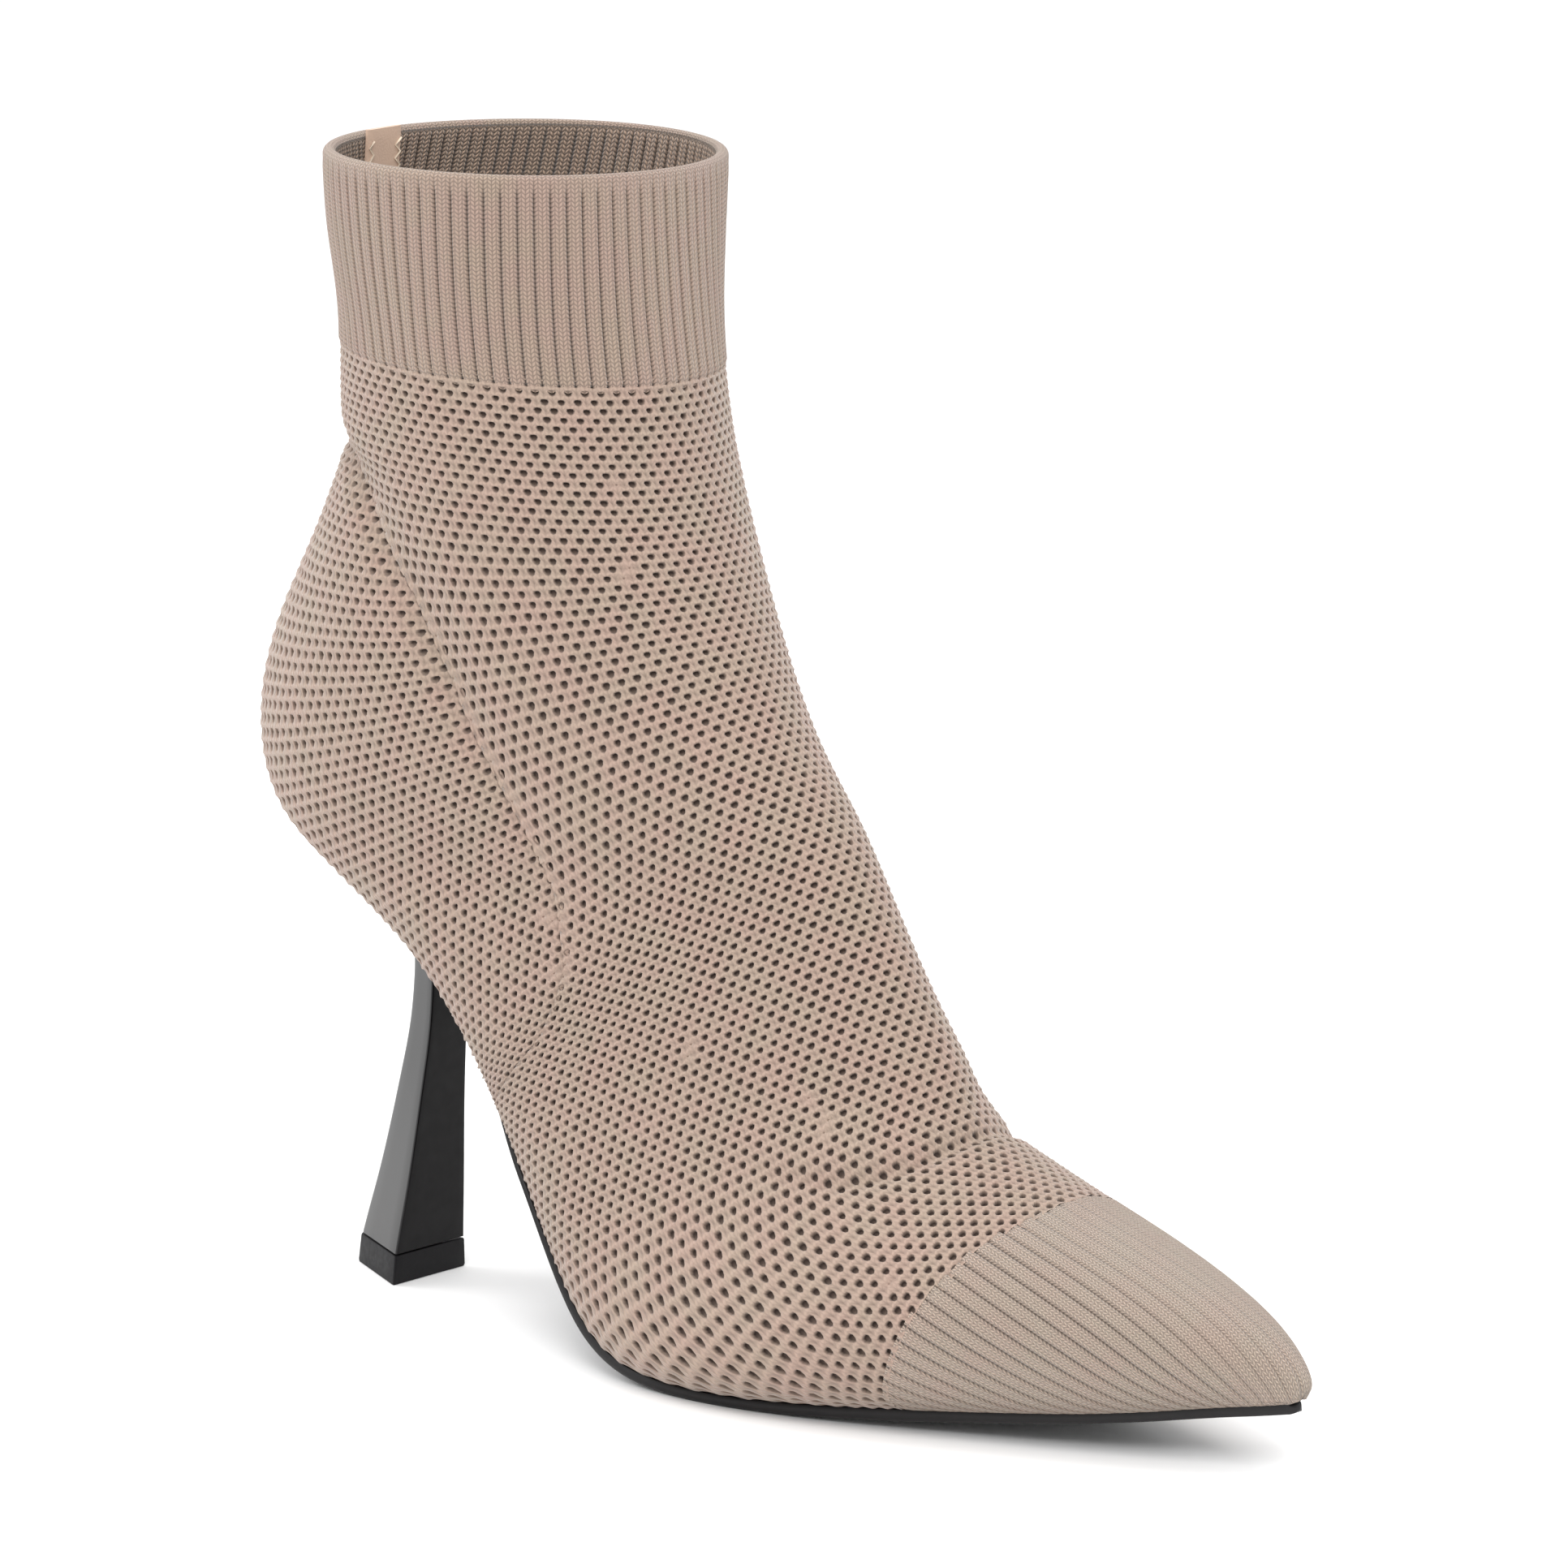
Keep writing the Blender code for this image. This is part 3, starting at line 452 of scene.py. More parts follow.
def openwork(lines, low, high, keep, seed, tucked=False):
    """Points and faces of the openwork between two limits round the shoe: a brick of knit round each hole, with painted
    shade down into the hole.
    """
    rng = np.random.default_rng(seed)
    corners, count = [], []
    for j in range(len(lines) - 1):
        shift = 0.5 * (j % 2)
        middle_down = (lines[j] + lines[j + 1]) / 2
        a, b = float(low(middle_down)), float(high(middle_down))
        first = math.floor(a / RIB - shift)
        last = math.ceil(b / RIB - shift)
        i = np.arange(first, last)
        left = (i + shift) * RIB
        inside = (left + RIB > a + 0.02 * MM) & (left < b - 0.02 * MM)
        inside &= keep(middle_down, left + RIB / 2)
        for at in left[inside]:
            corners.append((at, lines[j], lines[j + 1] - lines[j]))
    cells = np.array(corners)
    left, top, tall = cells.T
    n = len(cells)
    border_round_ = left[:, None] + BRICK[:, 0] * RIB
    border_down_ = top[:, None] + BRICK[:, 1] * tall[:, None]
    lo, hi = low(border_down_), high(border_down_)
    middle_round, middle_down = left + RIB / 2, top + tall / 2
    whole = (middle_round > low(middle_down) + MM) & (middle_round < high(middle_down) - MM)
    for down, round_ in SLUBS:
        whole &= np.hypot(middle_round - round_ * MM, middle_down - down * MM) > 1.5 * MM
    border_out = np.broadcast_to(CHUNK_OUT, (n, 8))
    border_painted_shade = np.broadcast_to(CHUNK_PAINTED_SHADE, (n, 8))
    size = rng.uniform(0.90, 1.10, (n, 1, 1)) * np.where(whole, 1, 0.3)[:, None, None]
    shift = rng.uniform(-0.06, 0.06, (n, 1, 2)) * MM
    drop = np.where(whole, 1, 0.1)[:, None]
    # Each ring's last value is its painted shade, deepening down into the pit; partial holes get little.
    rings = []
    for grow, out, depth in ((1.42, HOLE_RIM[None], np.zeros((1, 8))), (1.12, -0.10 * MM * drop, np.full((1, 8), 0.45)),
                             (0.95, -PIT * drop, PIT_PAINTED_SHADE[None])):
        at = HOLE[None] * grow * size + shift
        rings.append((middle_round[:, None] + at[..., 0], middle_down[:, None] + at[..., 1] * tall[:, None] / ROW,
                      np.broadcast_to(out, (n, 8)), depth * drop))
    border = np.stack([border_round_, border_down_], -1)
    border_flat = np.stack([np.clip(border[..., 0], lo, hi), border[..., 1]], -1).reshape(-1, 2)
    first, number = weld(np.round(border_flat * 1e7).astype(np.int64))
    points_round = [border_flat[first, 0]]
    points_down = [border_flat[first, 1]]
    points_out = [border_out.reshape(-1)[first]]
    points_painted_shade = [border_painted_shade.reshape(-1)[first]]
    total = len(first)
    index = [number.reshape(n, 8)]
    for r, d, o, deep in rings:
        index.append(total + np.arange(n * 8).reshape(n, 8))
        lo_r, hi_r = low(d), high(d)
        points_round.append(np.clip(r, lo_r, hi_r).ravel())
        points_down.append(d.ravel())
        points_out.append(np.broadcast_to(o, (n, 8)).ravel())
        points_painted_shade.append(np.broadcast_to(deep, (n, 8)).ravel())
        total += n * 8
    centre = total + np.arange(n)
    points_round.append(np.clip(middle_round, low(middle_down), high(middle_down)))
    points_down.append(middle_down)
    points_out.append(-PIT * drop[:, 0])
    points_painted_shade.append(0.85 * drop[:, 0])
    faces = []
    for a, b in zip(index, index[1:]):
        faces.append(np.stack([a, b, np.roll(b, -1, 1), np.roll(a, -1, 1)], -1).reshape(-1, 4))
    quads = np.vstack(faces)
    fans = np.stack([index[-1], np.broadcast_to(centre[:, None], (n, 8)), np.roll(index[-1], -1, 1)], -1).reshape(-1, 3)
    round_, down, out = (np.concatenate(v) for v in (points_round, points_down, points_out))
    if tucked:
        past = np.abs(round_) - pull_line(down)
        out = out - 0.45 * MM * (1 - smooth(past, 0, 1.6 * MM))
    points = knit_place(down, round_, out)
    faces = [tuple(f) for f in quads.tolist()] + [tuple(f) for f in fans.tolist()]
    faces = [f for f in faces if len(set(f)) == len(f)]
    uv = np.stack([round_, down], -1) / MM
    return points, faces, {"knit_mm": uv, "depth": np.concatenate(points_painted_shade)}


def add_openwork(name, lines, low, high, keep, seed, tucked=False):
    points, faces, extra = openwork(lines, low, high, keep, seed, tucked)
    piece = make_piece(name, points, faces, BEIGE_KNIT, extra=extra)
    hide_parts("upper")


first_line = int(CUFF_HEIGHT / ROW)
rows_down = np.arange(first_line, int((KNIT_RUN - 2 * MM) / ROW)) * ROW

# Behind the ankle crease the courses run closer than the fan of the ridge would space them.
SHORT_ROW_REACH = 55 * MM
bend_rate = np.gradient(slope, STEP)
extra_rows = 1 + np.clip(bend_rate, 0, None) * SHORT_ROW_REACH
pocket_first, pocket_last = 48 * MM, 142 * MM
pocket_count = np.cumsum(np.where((runs > pocket_first) & (runs < pocket_last), extra_rows, 0)) * STEP
pocket_rows = np.interp(np.arange(0, pocket_count[-1], ROW), pocket_count[runs > pocket_first], runs[runs > pocket_first])


def outer_limit(down):
    down = np.asarray(down)
    inside = (down > pocket_first) & (down < pocket_last)
    return np.where(inside, np.minimum(pull_line(down), OUTER.end_at(down)), OUTER.end_at(down))


def inner_limit(down):
    down = np.asarray(down)
    inside = (down > pocket_first) & (down < pocket_last)
    return -np.where(inside, np.minimum(pull_line(down), INNER.end_at(down)), INNER.end_at(down))


def not_toe(down, round_):
    return down < toe_starts(round_)


def above(limit, side):
    return lambda down, round_: not_toe(down, round_) & (down < limit) & ((round_ >= 0) == side)


def below(limit, side):
    return lambda down, round_: not_toe(down, round_) & (down >= limit) & ((round_ >= 0) == side)


ANKLE_END = 105 * MM
add_openwork("knit_ankle_outer", rows_down, inner_limit, outer_limit, above(ANKLE_END, True), 1)
add_openwork("knit_ankle_inner", rows_down, inner_limit, outer_limit, above(ANKLE_END, False), 2)
add_openwork("knit_foot_outer", rows_down, inner_limit, outer_limit, below(ANKLE_END, True), 3)
add_openwork("knit_foot_inner", rows_down, inner_limit, outer_limit, below(ANKLE_END, False), 4)
TUCK = 1.3 * MM
add_openwork("knit_heel_outer", pocket_rows, lambda d: pull_line(d) - TUCK,
             lambda d: np.maximum(OUTER.end_at(d), pull_line(d) - TUCK), lambda d, r: r < OUTER.end_at(d), 5, True)
add_openwork("knit_heel_inner", pocket_rows, lambda d: -np.maximum(INNER.end_at(d), pull_line(d) - TUCK),
             lambda d: TUCK - pull_line(d), lambda d, r: -r < INNER.end_at(d), 6, True)


def build_back_seam():
    """The narrow flat seam that closes the knit up the back and under the seat."""
    downs = np.arange(1.5 * MM, 136 * MM, 0.8 * MM)
    side = np.array([-3, -2.4, -1.5, -0.8, -0.3, 0, 0.3, 0.8, 1.5, 2.4, 3]) * MM
    proud = np.array([-0.5, 0.15, 0.42, 0.45, 0.25, 0.0, 0.25, 0.45, 0.42, 0.15, -0.5]) * MM
    down, across = np.meshgrid(downs, side, indexing="ij")
    low, high = ends(down)
    round_ = np.where(across >= 0, high - across, low - across)
    out = proud + CUFF_PROUD * (1 - smooth(down, CUFF_HEIGHT, CUFF_HEIGHT + MM))
    points = knit_place(down, round_, out).reshape(-1, 3)
    # Painted shade down the seam's middle line.
    dark = np.broadcast_to(0.7 * np.exp(-(side / (0.25 * MM)) ** 2), down.shape).ravel()
    piece = make_piece("back_seam", points, grid_faces(*down.shape), RIB_KNIT,
                       extra={"knit_mm": np.stack([across, down], -1).reshape(-1, 2) / MM, "depth": dark})
    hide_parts("upper")


def rib_columns(low, high):
    """Places round the shoe, close together at each groove, and how far each lies from its groove."""
    shares = np.array([0.0, 0.07, 0.17, 0.34, 0.5, 0.66, 0.83, 0.93])
    first, last = math.floor(low / RIB), math.ceil(high / RIB)
    places = np.concatenate([(i + 0.5 + shares) * RIB for i in range(first - 1, last)])
    return places[(places > low) & (places < high)]


def groove(round_, width, deep, crown):
    """The rib's section: a narrow groove between rounded ribs with a faint line down the middle, and the painted shade
    that fills the groove.
    """
    share = (round_ / RIB - 0.5) % 1.0
    near = np.minimum(share, 1 - share) * RIB
    out = -deep * np.exp(-(near / width) ** 2) + crown * np.sin(np.pi * np.clip(near / (RIB / 2), 0, 1) ** 0.7)
    out -= 0.3 * crown * np.exp(-((near - RIB / 2) / (0.14 * MM)) ** 2)
    return out, np.exp(-(near / (width * 1.1)) ** 2)


def grid_faces(rows, columns, closed=False):
    r, c = np.meshgrid(np.arange(rows - 1), np.arange(columns if closed else columns - 1), indexing="ij")
    d = (c + 1) % columns
    return np.stack([r * columns + c, (r + 1) * columns + c, (r + 1) * columns + d, r * columns + d], -1).reshape(-1, 4)


def build_cuff():
    """The ribbed cuff: outside, rolled rim and inside in one sheet."""
    columns = rib_columns(-INNER.end[0], OUTER.end[0])
    columns = np.r_[-INNER.end[0], columns, OUTER.end[0]]
    points, uv, depth = [], [], []
    downs = np.r_[CUFF_HEIGHT + 0.9 * MM, np.arange(CUFF_HEIGHT, RIM_BAND, -0.75 * MM), np.linspace(RIM_BAND, 0, 4)]
    # dark is painted shade in the outer grooves; shade is painted shade in the inner ones.
    form, dark = groove(columns, 0.20 * MM, 0.62 * MM, 0.14 * MM)
    share = (columns / RIB - 0.5) % 1.0
    tips = 1.5 * MM * np.sin(math.pi * share) - 0.2 * MM

    def spread(down):
        return np.clip(columns, *ends(down))

    for down in downs:
        ribbed = 0.25 + 0.75 * float(smooth(down, RIM_BAND - 0.6 * MM, RIM_BAND + 1.6 * MM))
        foot = 0.75 * MM * float(smooth(down, CUFF_HEIGHT - 0.8 * MM, CUFF_HEIGHT + 0.9 * MM))
        tip = (tips - 0.9 * MM) * (down > CUFF_HEIGHT)
        points.append(knit_place(down + tip, spread(down), CUFF_PROUD + form * ribbed - foot))
        uv.append(np.stack([columns, np.full_like(columns, down)], -1) / MM)
        depth.append(dark * ribbed)
    up = np.array((0, 0, 1.0))
    for turn in np.linspace(0, math.pi, 11)[1:-1]:
        out = CUFF_PROUD - CUFF_WALL / 2 * (1 - math.cos(turn))
        points.append(knit_place(0.0, spread(0.0), out) + up * RIM_RISE * math.sin(turn))
        uv.append(np.stack([columns, np.full_like(columns, -turn * 1.5 * MM)], -1) / MM)
        # Painted shade deepens as the rim turns to the inside.
        depth.append(np.full_like(columns, 0.25 * smooth(turn, 2.0, math.pi)))
    inside, shade = groove(columns, 0.30 * MM, 0.30 * MM, 0.20 * MM)
    for down in np.arange(0, CUFF_HEIGHT + 3 * MM, 1.0 * MM):
        ribbed = float(smooth(down, 0.2 * MM, 1.6 * MM))
        wall = CUFF_WALL - CUFF_PROUD - 0.3 * MM * float(smooth(down, CUFF_HEIGHT - MM, CUFF_HEIGHT + 2 * MM))
        points.append(knit_place(down, spread(down), -wall - inside * ribbed))
        uv.append(np.stack([columns, np.full_like(columns, down)], -1) / MM)
        depth.append(shade * ribbed * 0.8)
    faces = grid_faces(len(points), len(columns))
    piece = make_piece("ribbed_cuff", np.vstack(points), faces, RIB_KNIT,
                       extra={"knit_mm": np.vstack(uv), "depth": np.concatenate(depth)})
    piece.data.materials.append(INSIDE_KNIT)
    outside = len(downs) + 8
    which = np.repeat((np.arange(len(points) - 1) >= outside).astype(np.int32), len(columns) - 1)
    piece.data.polygons.foreach_set("material_index", which)
    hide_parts("upper")


def build_toe():
    """The close-ribbed toe: ribs run along the ridge and end at the sole's edge."""
    low, high = float(ends(200 * MM)[0]), float(ends(200 * MM)[1])
    columns = rib_columns(low, high)
    downs = np.arange(198 * MM, KNIT_RUN, 0.7 * MM)
    down, round_ = np.meshgrid(downs, columns, indexing="ij")
    lo, hi = ends(down)
    # dark is painted shade in the grooves; soft makes grooves and shade fainter along the ridge.
    share, dark = groove(round_, 0.20 * MM, 0.42 * MM, 0.10 * MM)
    soft = 0.35 + 0.65 * smooth(np.abs(round_), 6 * MM, 22 * MM)
    rib_middle = np.round(round_ / RIB) * RIB
    start = toe_starts(rib_middle) - 1.2 * MM
    edge = 0.30 * MM * (1 - smooth(down, start, start + 2.2 * MM))
    out = 0.3 * MM + share * soft - edge
    points = knit_place(down, np.clip(round_, lo, hi), out)
    faces = grid_faces(*down.shape)
    live = (down >= start) & (round_ > lo - RIB / 4) & (round_ < hi + RIB / 4)
    faces = faces[live.ravel()[faces].all(1)]
    used, faces = np.unique(faces, return_inverse=True)
    uv = np.stack([round_, down], -1).reshape(-1, 2) / MM
    piece = make_piece("ribbed_toe", points.reshape(-1, 3)[used], faces.reshape(-1, 4), TOE_KNIT,
                       extra={"knit_mm": uv[used], "depth": (dark * soft).ravel()[used]})
    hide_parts("upper")


def build_lining():
    """The inside of the knit below the cuff, and the toe's closed end."""
    downs = np.arange(CUFF_HEIGHT + MM, KNIT_RUN - 18 * MM, 2.0 * MM)
    shares = np.linspace(-1, 1, 161)
    low, high = ends(downs)
    round_ = np.where(shares < 0, -shares * low[:, None], shares * high[:, None])
    down = np.broadcast_to(downs[:, None], round_.shape)
    points = knit_place(down, round_, -WALL).reshape(-1, 3)
    uv = np.stack([round_, down], -1).reshape(-1, 2) / MM
    faces = grid_faces(*down.shape)[:, ::-1]
    piece = make_piece("knit_lining", points, faces, LINING,
                       extra={"knit_mm": uv, "depth": np.full(len(points), 0.1)})
    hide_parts("upper")


build_cuff()
build_back_seam()
build_toe()
build_lining()


# Heel, as in the part: up, flare, cup, lean
HEEL = np.array([
    (0.071, 0.89, 0.00, 0.02), (0.141, 0.76, 0.00, 0.16), (0.235, 0.58, 0.00, 0.35), (0.353, 0.38, 0.00, 0.55),
    (0.470, 0.21, 0.00, 0.75), (0.588, 0.07, 0.00, 0.94), (0.706, 0.00, 0.00, 1.00), (0.776, 0.00, 0.04, 1.00),
    (0.840, 0.00, 0.36, 1.10), (0.910, 0.00, 0.90, 1.25), (1.040, 0.00, 1.10, 1.30)])
HEEL_BEND = second_slopes(HEEL)
HEEL_SETBACK = 0.0355
HEEL_BASE = (0.0204, 0.0178)
HEEL_NECK = (0.0098, 0.0084)
HEEL_CUP = (0.0190, 0.0190)
HEEL_LEAN = 0.0048
HEEL_BACK_RADIUS = 0.0021
HEEL_EDGE = 0.6 * MM
LIFT_HEIGHT = 0.0057


def heel_plan(flare, cup, lean, inset=0.0):
    """The heel's outline at one level, from the breast's middle round the back."""
    width = HEEL_NECK[0] + flare * (HEEL_BASE[0] - HEEL_NECK[0]) + cup * (HEEL_CUP[0] - HEEL_NECK[0]) - 2 * inset
    depth = HEEL_NECK[1] + flare * (HEEL_BASE[1] - HEEL_NECK[1]) + cup * (HEEL_CUP[1] - HEEL_NECK[1]) - 2 * inset
    radius = HEEL_BACK_RADIUS * (1 + cup) - inset / 2
    breast = HEEL_SETBACK + lean * HEEL_LEAN - inset
    half = width / 2
    side = math.atan2(half, depth - radius) - math.asin(radius / math.hypot(half, depth - radius))
    centre = breast - depth + radius
    corner = np.array((breast, -half))
    tangent = np.array((centre - radius * math.sin(side), -radius * math.cos(side)))
    back = (tangent - corner) / np.linalg.norm(tangent - corner)
    start, end = corner + (0, HEEL_EDGE), corner + back * HEEL_EDGE
    half_plan = [np.array((breast, -half * s)) for s in (0.0, 0.4, 0.75)]
    half_plan += [start * (1 - s) ** 2 + corner * 2 * s * (1 - s) + end * s * s for s in (0.0, 0.25, 0.5, 0.75, 1.0)]
    half_plan += [end + (tangent - end) * s for s in (0.25, 0.5, 0.75)]
    sweep = np.linspace(math.radians(270) - side, math.pi, 9)
    half_plan += [np.array((centre + radius * math.cos(a), radius * math.sin(a))) for a in sweep]
    plan = half_plan + [p * (1, -1) for p in half_plan[-2:0:-1]]
    return np.array(plan) - MIDDLE[:2]


def seat_height(x, y):
    """The height of the knit's underside over a place under the seat."""
    rows = np.linspace(6.5, 10.5, 60)
    angles = np.linspace(math.radians(100), math.radians(260), 81)
    grid = last_surface(*np.meshgrid(rows, angles, indexing="ij")).reshape(-1, 3)
    found = []
    for a, b in zip(np.atleast_1d(x), np.atleast_1d(y)):
        away = (grid[:, 0] - a) ** 2 + (grid[:, 1] - b) ** 2
        near = np.argsort(away)[:6]
        weight = 1 / (away[near] + 1e-9)
        found.append((grid[near, 2] * weight).sum() / weight.sum())
    return np.array(found)


def moulded_black(name, colour, roughness, coat, specular, grain, relief):
    """Smooth moulded plastic or rubber: an even dark colour with a very fine surface ripple."""
    material, tree, shader = start_material(name, colour=linear(colour), coat=coat, coat_roughness=0.06,
                                            specular=specular)
    spot = add_node(tree, "ShaderNodeTexCoord")
    noise = add_node(tree, "ShaderNodeTexNoise", {}, {"Scale": grain, "Detail": 4.0}, {"Vector": spot.outputs["Object"]})
    bump = add_node(tree, "ShaderNodeBump", {}, {"Strength": 0.6, "Distance": relief}, {"Height": noise.outputs[0]})
    tree.links.new(bump.outputs[0], shader.inputs["Normal"])
    rough = add_node(tree, "ShaderNodeMapRange", {}, {"To Min": roughness * 0.8, "To Max": roughness * 1.25},
                     {"Value": noise.outputs[0]})
    tree.links.new(rough.outputs[0], shader.inputs["Roughness"])
    return material


HEEL_ABS = moulded_black("black_abs_moulded_lacquered_heel", "#0D0C0D", 0.14, 0.12, 0.28, 120.0, 0.03 * MM)
BREAST_ABS = moulded_black("black_abs_moulded_satin_breast", "#131213", 0.5, 0.0, 0.15, 400.0, 0.02 * MM)
TIP_RUBBER = moulded_black("black_polyurethane_moulded_heel_tip", "#141315", 0.5, 0.0, 0.15, 900.0, 0.03 * MM)
SOLE_RUBBER = moulded_black("black_rubber_calendered_sole", "#191718", 0.45, 0.0, 0.28, 700.0, 0.05 * MM)


def loft(name, rings, material, cap_first=True, cap_last=True):
    count = len(rings[0])
    faces = [tuple(f) for f in grid_faces(len(rings), count, closed=True).tolist()]
    if cap_first:
        faces.append(tuple(range(count)))
    if cap_last:
        faces.append(tuple((len(rings) - 1) * count + i for i in reversed(range(count))))
    piece = make_piece(name, np.vstack(rings), faces, material)
    piece.data.set_sharp_from_angle(angle=math.radians(35))
    return piece


def build_heel():
    at = np.linspace(0, len(HEEL) - 1, 61)
    table = spline(HEEL, HEEL_BEND, at)
    seat = KNIT_LEVEL + HEEL_RISE
    rings = []
    for number, (up, flare, cup, lean) in enumerate(table):
        plan = heel_plan(max(flare, 0), max(cup, 0), lean)
        level = max(up * seat, LIFT_HEIGHT + GAP)
        height = np.full(len(plan), level)
        limit = seat_height(*plan.T) - 0.2 * MM if up > 0.72 else height + 1
        rings.append(np.column_stack([plan, np.minimum(height, limit)]))
        if up > 0.72 and (height > limit).all():
            break
    piece = loft("heel_block", rings, HEEL_ABS, cap_last=False)
    piece.data.materials.append(BREAST_ABS)
    normals = np.zeros(len(piece.data.polygons) * 3)
    piece.data.polygons.foreach_get("normal", normals)
    normals = normals.reshape(-1, 3)
    centres = np.zeros(len(piece.data.polygons) * 3)
    piece.data.polygons.foreach_get("center", centres)
    flat = (normals[:, 0] > 0.93) & (centres.reshape(-1, 3)[:, 2] < 0.066)
    piece.data.polygons.foreach_set("material_index", flat.astype(np.int32))
    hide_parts("heel")
    rings = []
    for inset, level in ((0.5 * MM, 0.0), (0.12 * MM, 0.12 * MM), (0.0, 0.5 * MM), (0.0, LIFT_HEIGHT - 0.35 * MM),
                         (0.12 * MM, LIFT_HEIGHT - 0.08 * MM), (0.35 * MM, LIFT_HEIGHT)):
        flare = 1.0 - 0.07 * level / LIFT_HEIGHT
        plan = heel_plan(flare, 0, 0.02 * level / LIFT_HEIGHT, inset)
        rings.append(np.column_stack([plan, np.full(len(plan), level)]))
    piece = loft("heel_tip", rings, TIP_RUBBER)
    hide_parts("top_lift")


SOLE_THICKNESS = 2.5 * MM
WAIST_THICKNESS = 1.5 * MM
TOE_THICKNESS = 1.9 * MM
SOLE_BREAST_WIDTH = 22 * MM


def build_sole():
    """The thin sole: follows the knit's underside, with a rounded edge all round."""
    rows = np.linspace(8.6, LAST_SECTION, 230)
    angles = np.linspace(FEATHER_ANGLE, 2 * math.pi - FEATHER_ANGLE, 61)
    under = last_surface(*np.meshgrid(rows, angles, indexing="ij"))
    keel = under[:, 30]
    start_x = HEEL_SETBACK + 1.25 * HEEL_LEAN + 2.1 * MM - MIDDLE[0]
    stations = np.nonzero(keel[:, 0] >= start_x)[0]
    profile = [(1.0, 0.0), (1.012, 0.22), (1.012, 0.55), (0.99, 0.82), (0.955, 0.97), (0.90, 1.0), (0.6, 1.0),
               (0.3, 1.0), (0.0, 1.0)]
    profile += [(-a, d) for a, d in profile[-2::-1]]
    rings = []
    for k in stations:
        line = under[k]
        x = keel[k, 0] + MIDDLE[0]
        wide = float(smooth(x, start_x + MIDDLE[0], 0.34 * FOOT_LENGTH))
        full = (line[:, 1].max() - line[:, 1].min()) / 2
        half = min(SOLE_BREAST_WIDTH / 2 * (1 - wide) + full * wide, full)
        thick = WAIST_THICKNESS + (SOLE_THICKNESS - WAIST_THICKNESS) * float(
            smooth(x, 0.34 * FOOT_LENGTH, 0.43 * FOOT_LENGTH))
        thick += (TOE_THICKNESS - SOLE_THICKNESS) * float(smooth(x, 0.66 * FOOT_LENGTH, 0.9 * FOOT_LENGTH))
        step = keel[min(k + 1, len(keel) - 1)] - keel[k - 1]
        down = np.array((step[2], 0, -step[0])) / math.hypot(step[0], step[2])
        middle = (line[:, 1].max() + line[:, 1].min()) / 2
        order = np.argsort(line[:, 1])
        ring = []
        for across, share in profile:
            y = middle + across * half
            at = np.interp(y, line[order, 1], line[order, 0]), y, np.interp(y, line[order, 1], line[order, 2])
            point = np.array(at) + down * (GAP + thick * share)
            point[2] = max(point[2], 0)
            ring.append(point)
        rings.append(np.array(ring))
    count = len(profile)
    # The sole's front rounds off just past the knit's tip.
    end, centre = rings[-1], rings[-1].mean(0)
    for shrink, forward in ((0.93, 0.5), (0.78, 0.9), (0.5, 1.2), (0.15, 1.35)):
        rings.append(centre + (end - centre) * shrink + np.array((forward, 0, 0.12 * forward)) * MM)
    points = np.vstack(rings)
    faces = [tuple(f) for f in grid_faces(len(rings), count, closed=True).tolist()]
    faces.append(tuple(range(count)))
    faces.append(tuple(len(points) - count + c for c in reversed(range(count))))
    piece = make_piece("rubber_sole", points, faces, SOLE_RUBBER)
    piece.data.set_sharp_from_angle(angle=math.radians(50))
    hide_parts("outsole")


build_heel()
build_sole()


def woven_tape(name, colour, dark):
    """Polyester tape with a fine plain weave, slightly shiny where it is pressed flat."""
    material, tree, shader = start_material(name, roughness=0.62, sheen=0.15)
    spot = add_node(tree, "ShaderNodeTexCoord")
    weave = add_node(tree, "ShaderNodeTexVoronoi", {}, {"Scale": 2200.0}, {"Vector": spot.outputs["Object"]})
    bump = add_node(tree, "ShaderNodeBump", {}, {"Strength": 0.7, "Distance": 0.05 * MM}, {"Height": weave.outputs[0]})
    tree.links.new(bump.outputs[0], shader.inputs["Normal"])
    cloud = add_node(tree, "ShaderNodeTexNoise", {}, {"Scale": 160.0}, {"Vector": spot.outputs["Object"]})
    tree.links.new(blend_colours(tree, cloud.outputs[0], linear(colour), linear(dark)), shader.inputs["Base Color"])
    return material


TAPE = woven_tape("beige_polyester_woven_seam_tape", "#C9AE99", "#BC9F8B")
THREAD = woven_tape("cream_polyester_sewing_thread", "#DDCDB9", "#CDB9A2")
BOARD = woven_tape("beige_textile_covered_insole_board", "#96806F", "#8A7464")


TAPE_TURN = 5 * MM                    # the cuff is turned a little on the ankle


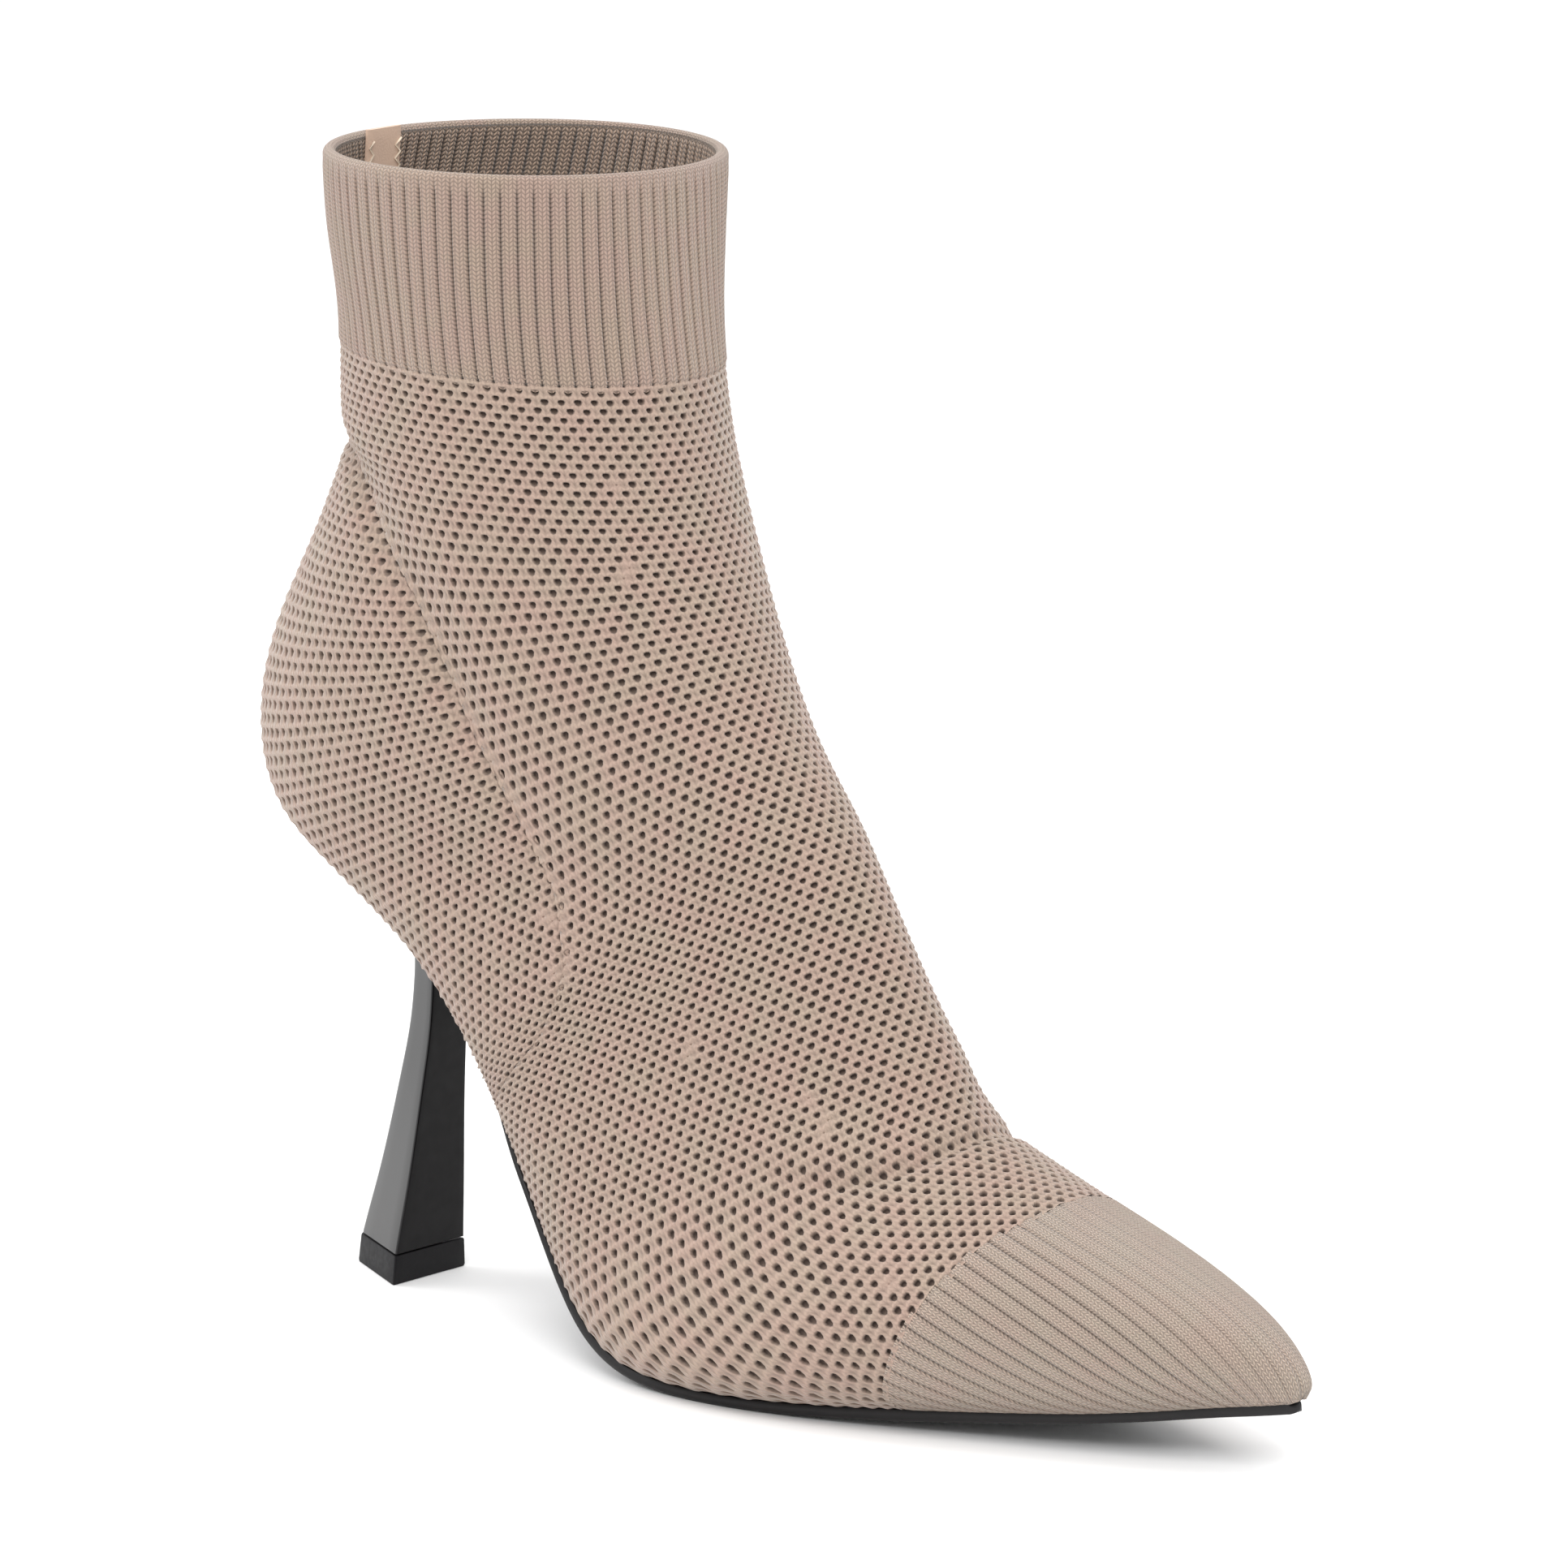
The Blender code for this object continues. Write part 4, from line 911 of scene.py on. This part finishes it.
def build_tape():
    """The tape over the back seam, with its rows of zigzag stitches."""
    back = (OUTER.end[0] + INNER.end[0]) / 2
    width, length = 11 * MM, 34 * MM
    downs = np.r_[-1.7 * MM, np.linspace(0, length, 25)]
    across = np.linspace(-1, 1, 15)

    def on_tape(down, side, out):
        """A place on the inside of the cuff, side of the back seam, at a height over the knit."""
        high = OUTER.end_at(max(down, 0))
        low = INNER.end_at(max(down, 0))
        off = side * (width / 2) + TAPE_TURN
        at = high - off if off >= 0 else -(low + off)
        place = knit_place(max(down, 0.0), at, -(CUFF_WALL - CUFF_PROUD) - out)
        return place + np.array((0, 0, max(-down, 0.0)))

    near = np.array([[on_tape(d, a, 0.35 * MM) for a in across] for d in downs])
    far = np.array([[on_tape(d, a, 1.15 * MM - 0.35 * MM * abs(a) ** 6) for a in across] for d in downs])
    rows, columns = near.shape[:2]
    points = np.vstack([near.reshape(-1, 3), far.reshape(-1, 3)])
    faces = [tuple(f) for f in grid_faces(rows, columns).tolist()]
    low = rows * columns
    faces += [tuple(f[::-1]) for f in (grid_faces(rows, columns) + low).tolist()]
    edge = list(range(columns)) + [(r + 1) * columns - 1 for r in range(1, rows)]
    edge += [(rows - 1) * columns + c for c in range(columns - 2, -1, -1)]
    edge += [r * columns for r in range(rows - 2, 0, -1)]
    faces += [(a, b, low + b, low + a) for a, b in zip(edge, edge[1:] + edge[:1])]
    piece = make_piece("back_seam_tape", points, faces, TAPE)
    piece.data.set_sharp_from_angle(angle=math.radians(50))
    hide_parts("seam_tape")
    for number, lane in enumerate((-0.8, 0.8)):
        line = []
        for i in range(int((length - MM) / (1.4 * MM))):
            line.append(on_tape(0.6 * MM + i * 1.4 * MM, lane + (0.13 if i % 2 else -0.13), 1.22 * MM))
        add_thread(f"tape_stitches_{number + 1}", line, 0.22 * MM)


def add_thread(name, line, radius):
    """A round thread through a line of places."""
    line = np.array(line)
    ways = np.gradient(line, axis=0)
    ways /= np.linalg.norm(ways, axis=1, keepdims=True)
    side = np.cross(ways, (0, 0, 1))
    side /= np.maximum(np.linalg.norm(side, axis=1, keepdims=True), 1e-9)
    up = np.cross(side, ways)
    turns = np.arange(6) * math.pi / 3
    rings = [p + radius * (np.cos(turns)[:, None] * s + np.sin(turns)[:, None] * u) for p, s, u in zip(line, side, up)]
    count = len(turns)
    faces = [tuple(f) for f in grid_faces(len(rings), count, closed=True).tolist()]
    faces += [tuple(range(count)), tuple((len(rings) - 1) * count + i for i in reversed(range(count)))]
    make_piece(name, np.vstack(rings), faces, THREAD)


build_tape()
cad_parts["insole"].data.materials.clear()
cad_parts["insole"].data.materials.append(BOARD)


def build_stage():
    """Pale floor, soft white surroundings and large soft lights."""
    mesh = bpy.data.meshes.new("floor")
    reach = 6.0
    mesh.from_pydata([(-reach, -reach, 0), (reach, -reach, 0), (reach, reach, 0), (-reach, reach, 0)], [], [(0, 1, 2, 3)])
    material, tree, shader = start_material("matt_white_painted_floor", colour=linear("#F7F7F7"), roughness=0.7)
    mesh.materials.append(material)
    floor = bpy.data.objects.new("floor", mesh)
    bpy.context.scene.collection.objects.link(floor)
    world = bpy.data.worlds.new("soft_white_surroundings")
    world.use_nodes = True
    world.node_tree.nodes["Background"].inputs[0].default_value = (1, 1, 1, 1)
    world.node_tree.nodes["Background"].inputs[1].default_value = 1.0
    bpy.context.scene.world = world
    # place, size, power
    for name, place, size, power in (("key", (0.75, -1.0, 1.3), 1.0, 22.0), ("left", (-1.3, -0.7, 0.8), 0.9, 9.0),
                                     ("top", (0.1, 0.3, 1.7), 1.2, 12.0)):
        lamp = bpy.data.lights.new(name, "AREA")
        lamp.size = size
        lamp.energy = power
        thing = bpy.data.objects.new(name, lamp)
        thing.location = place
        thing.rotation_euler = (Vector((0, 0, 0.1)) - Vector(place)).to_track_quat("-Z", "Y").to_euler()
        bpy.context.scene.collection.objects.link(thing)


def build_camera():
    """The photo's angle: yaw, pitch and roll in degrees, and its long lens."""
    yaw, pitch, roll = (math.radians(v) for v in (40.1716, 11.8312, 0.8219))
    ahead = Vector((-math.sin(yaw) * math.cos(pitch), math.cos(yaw) * math.cos(pitch), -math.sin(pitch)))
    right = Vector((math.cos(yaw), math.sin(yaw), 0))
    up = right.cross(ahead)
    side = right * math.cos(roll) + up * math.sin(roll)
    top = up * math.cos(roll) - right * math.sin(roll)
    data = bpy.data.cameras.new("camera")
    data.sensor_width = 36.0
    data.lens = 191.79
    camera = bpy.data.objects.new("camera", data)
    turn = Matrix((side, top, -ahead)).transposed().to_4x4()
    camera.matrix_world = Matrix.Translation((0.956917, -1.131100, 0.418129)) @ turn
    bpy.context.scene.collection.objects.link(camera)
    bpy.context.scene.camera = camera


build_stage()
build_camera()
bpy.context.scene.view_settings.view_transform = "Standard"
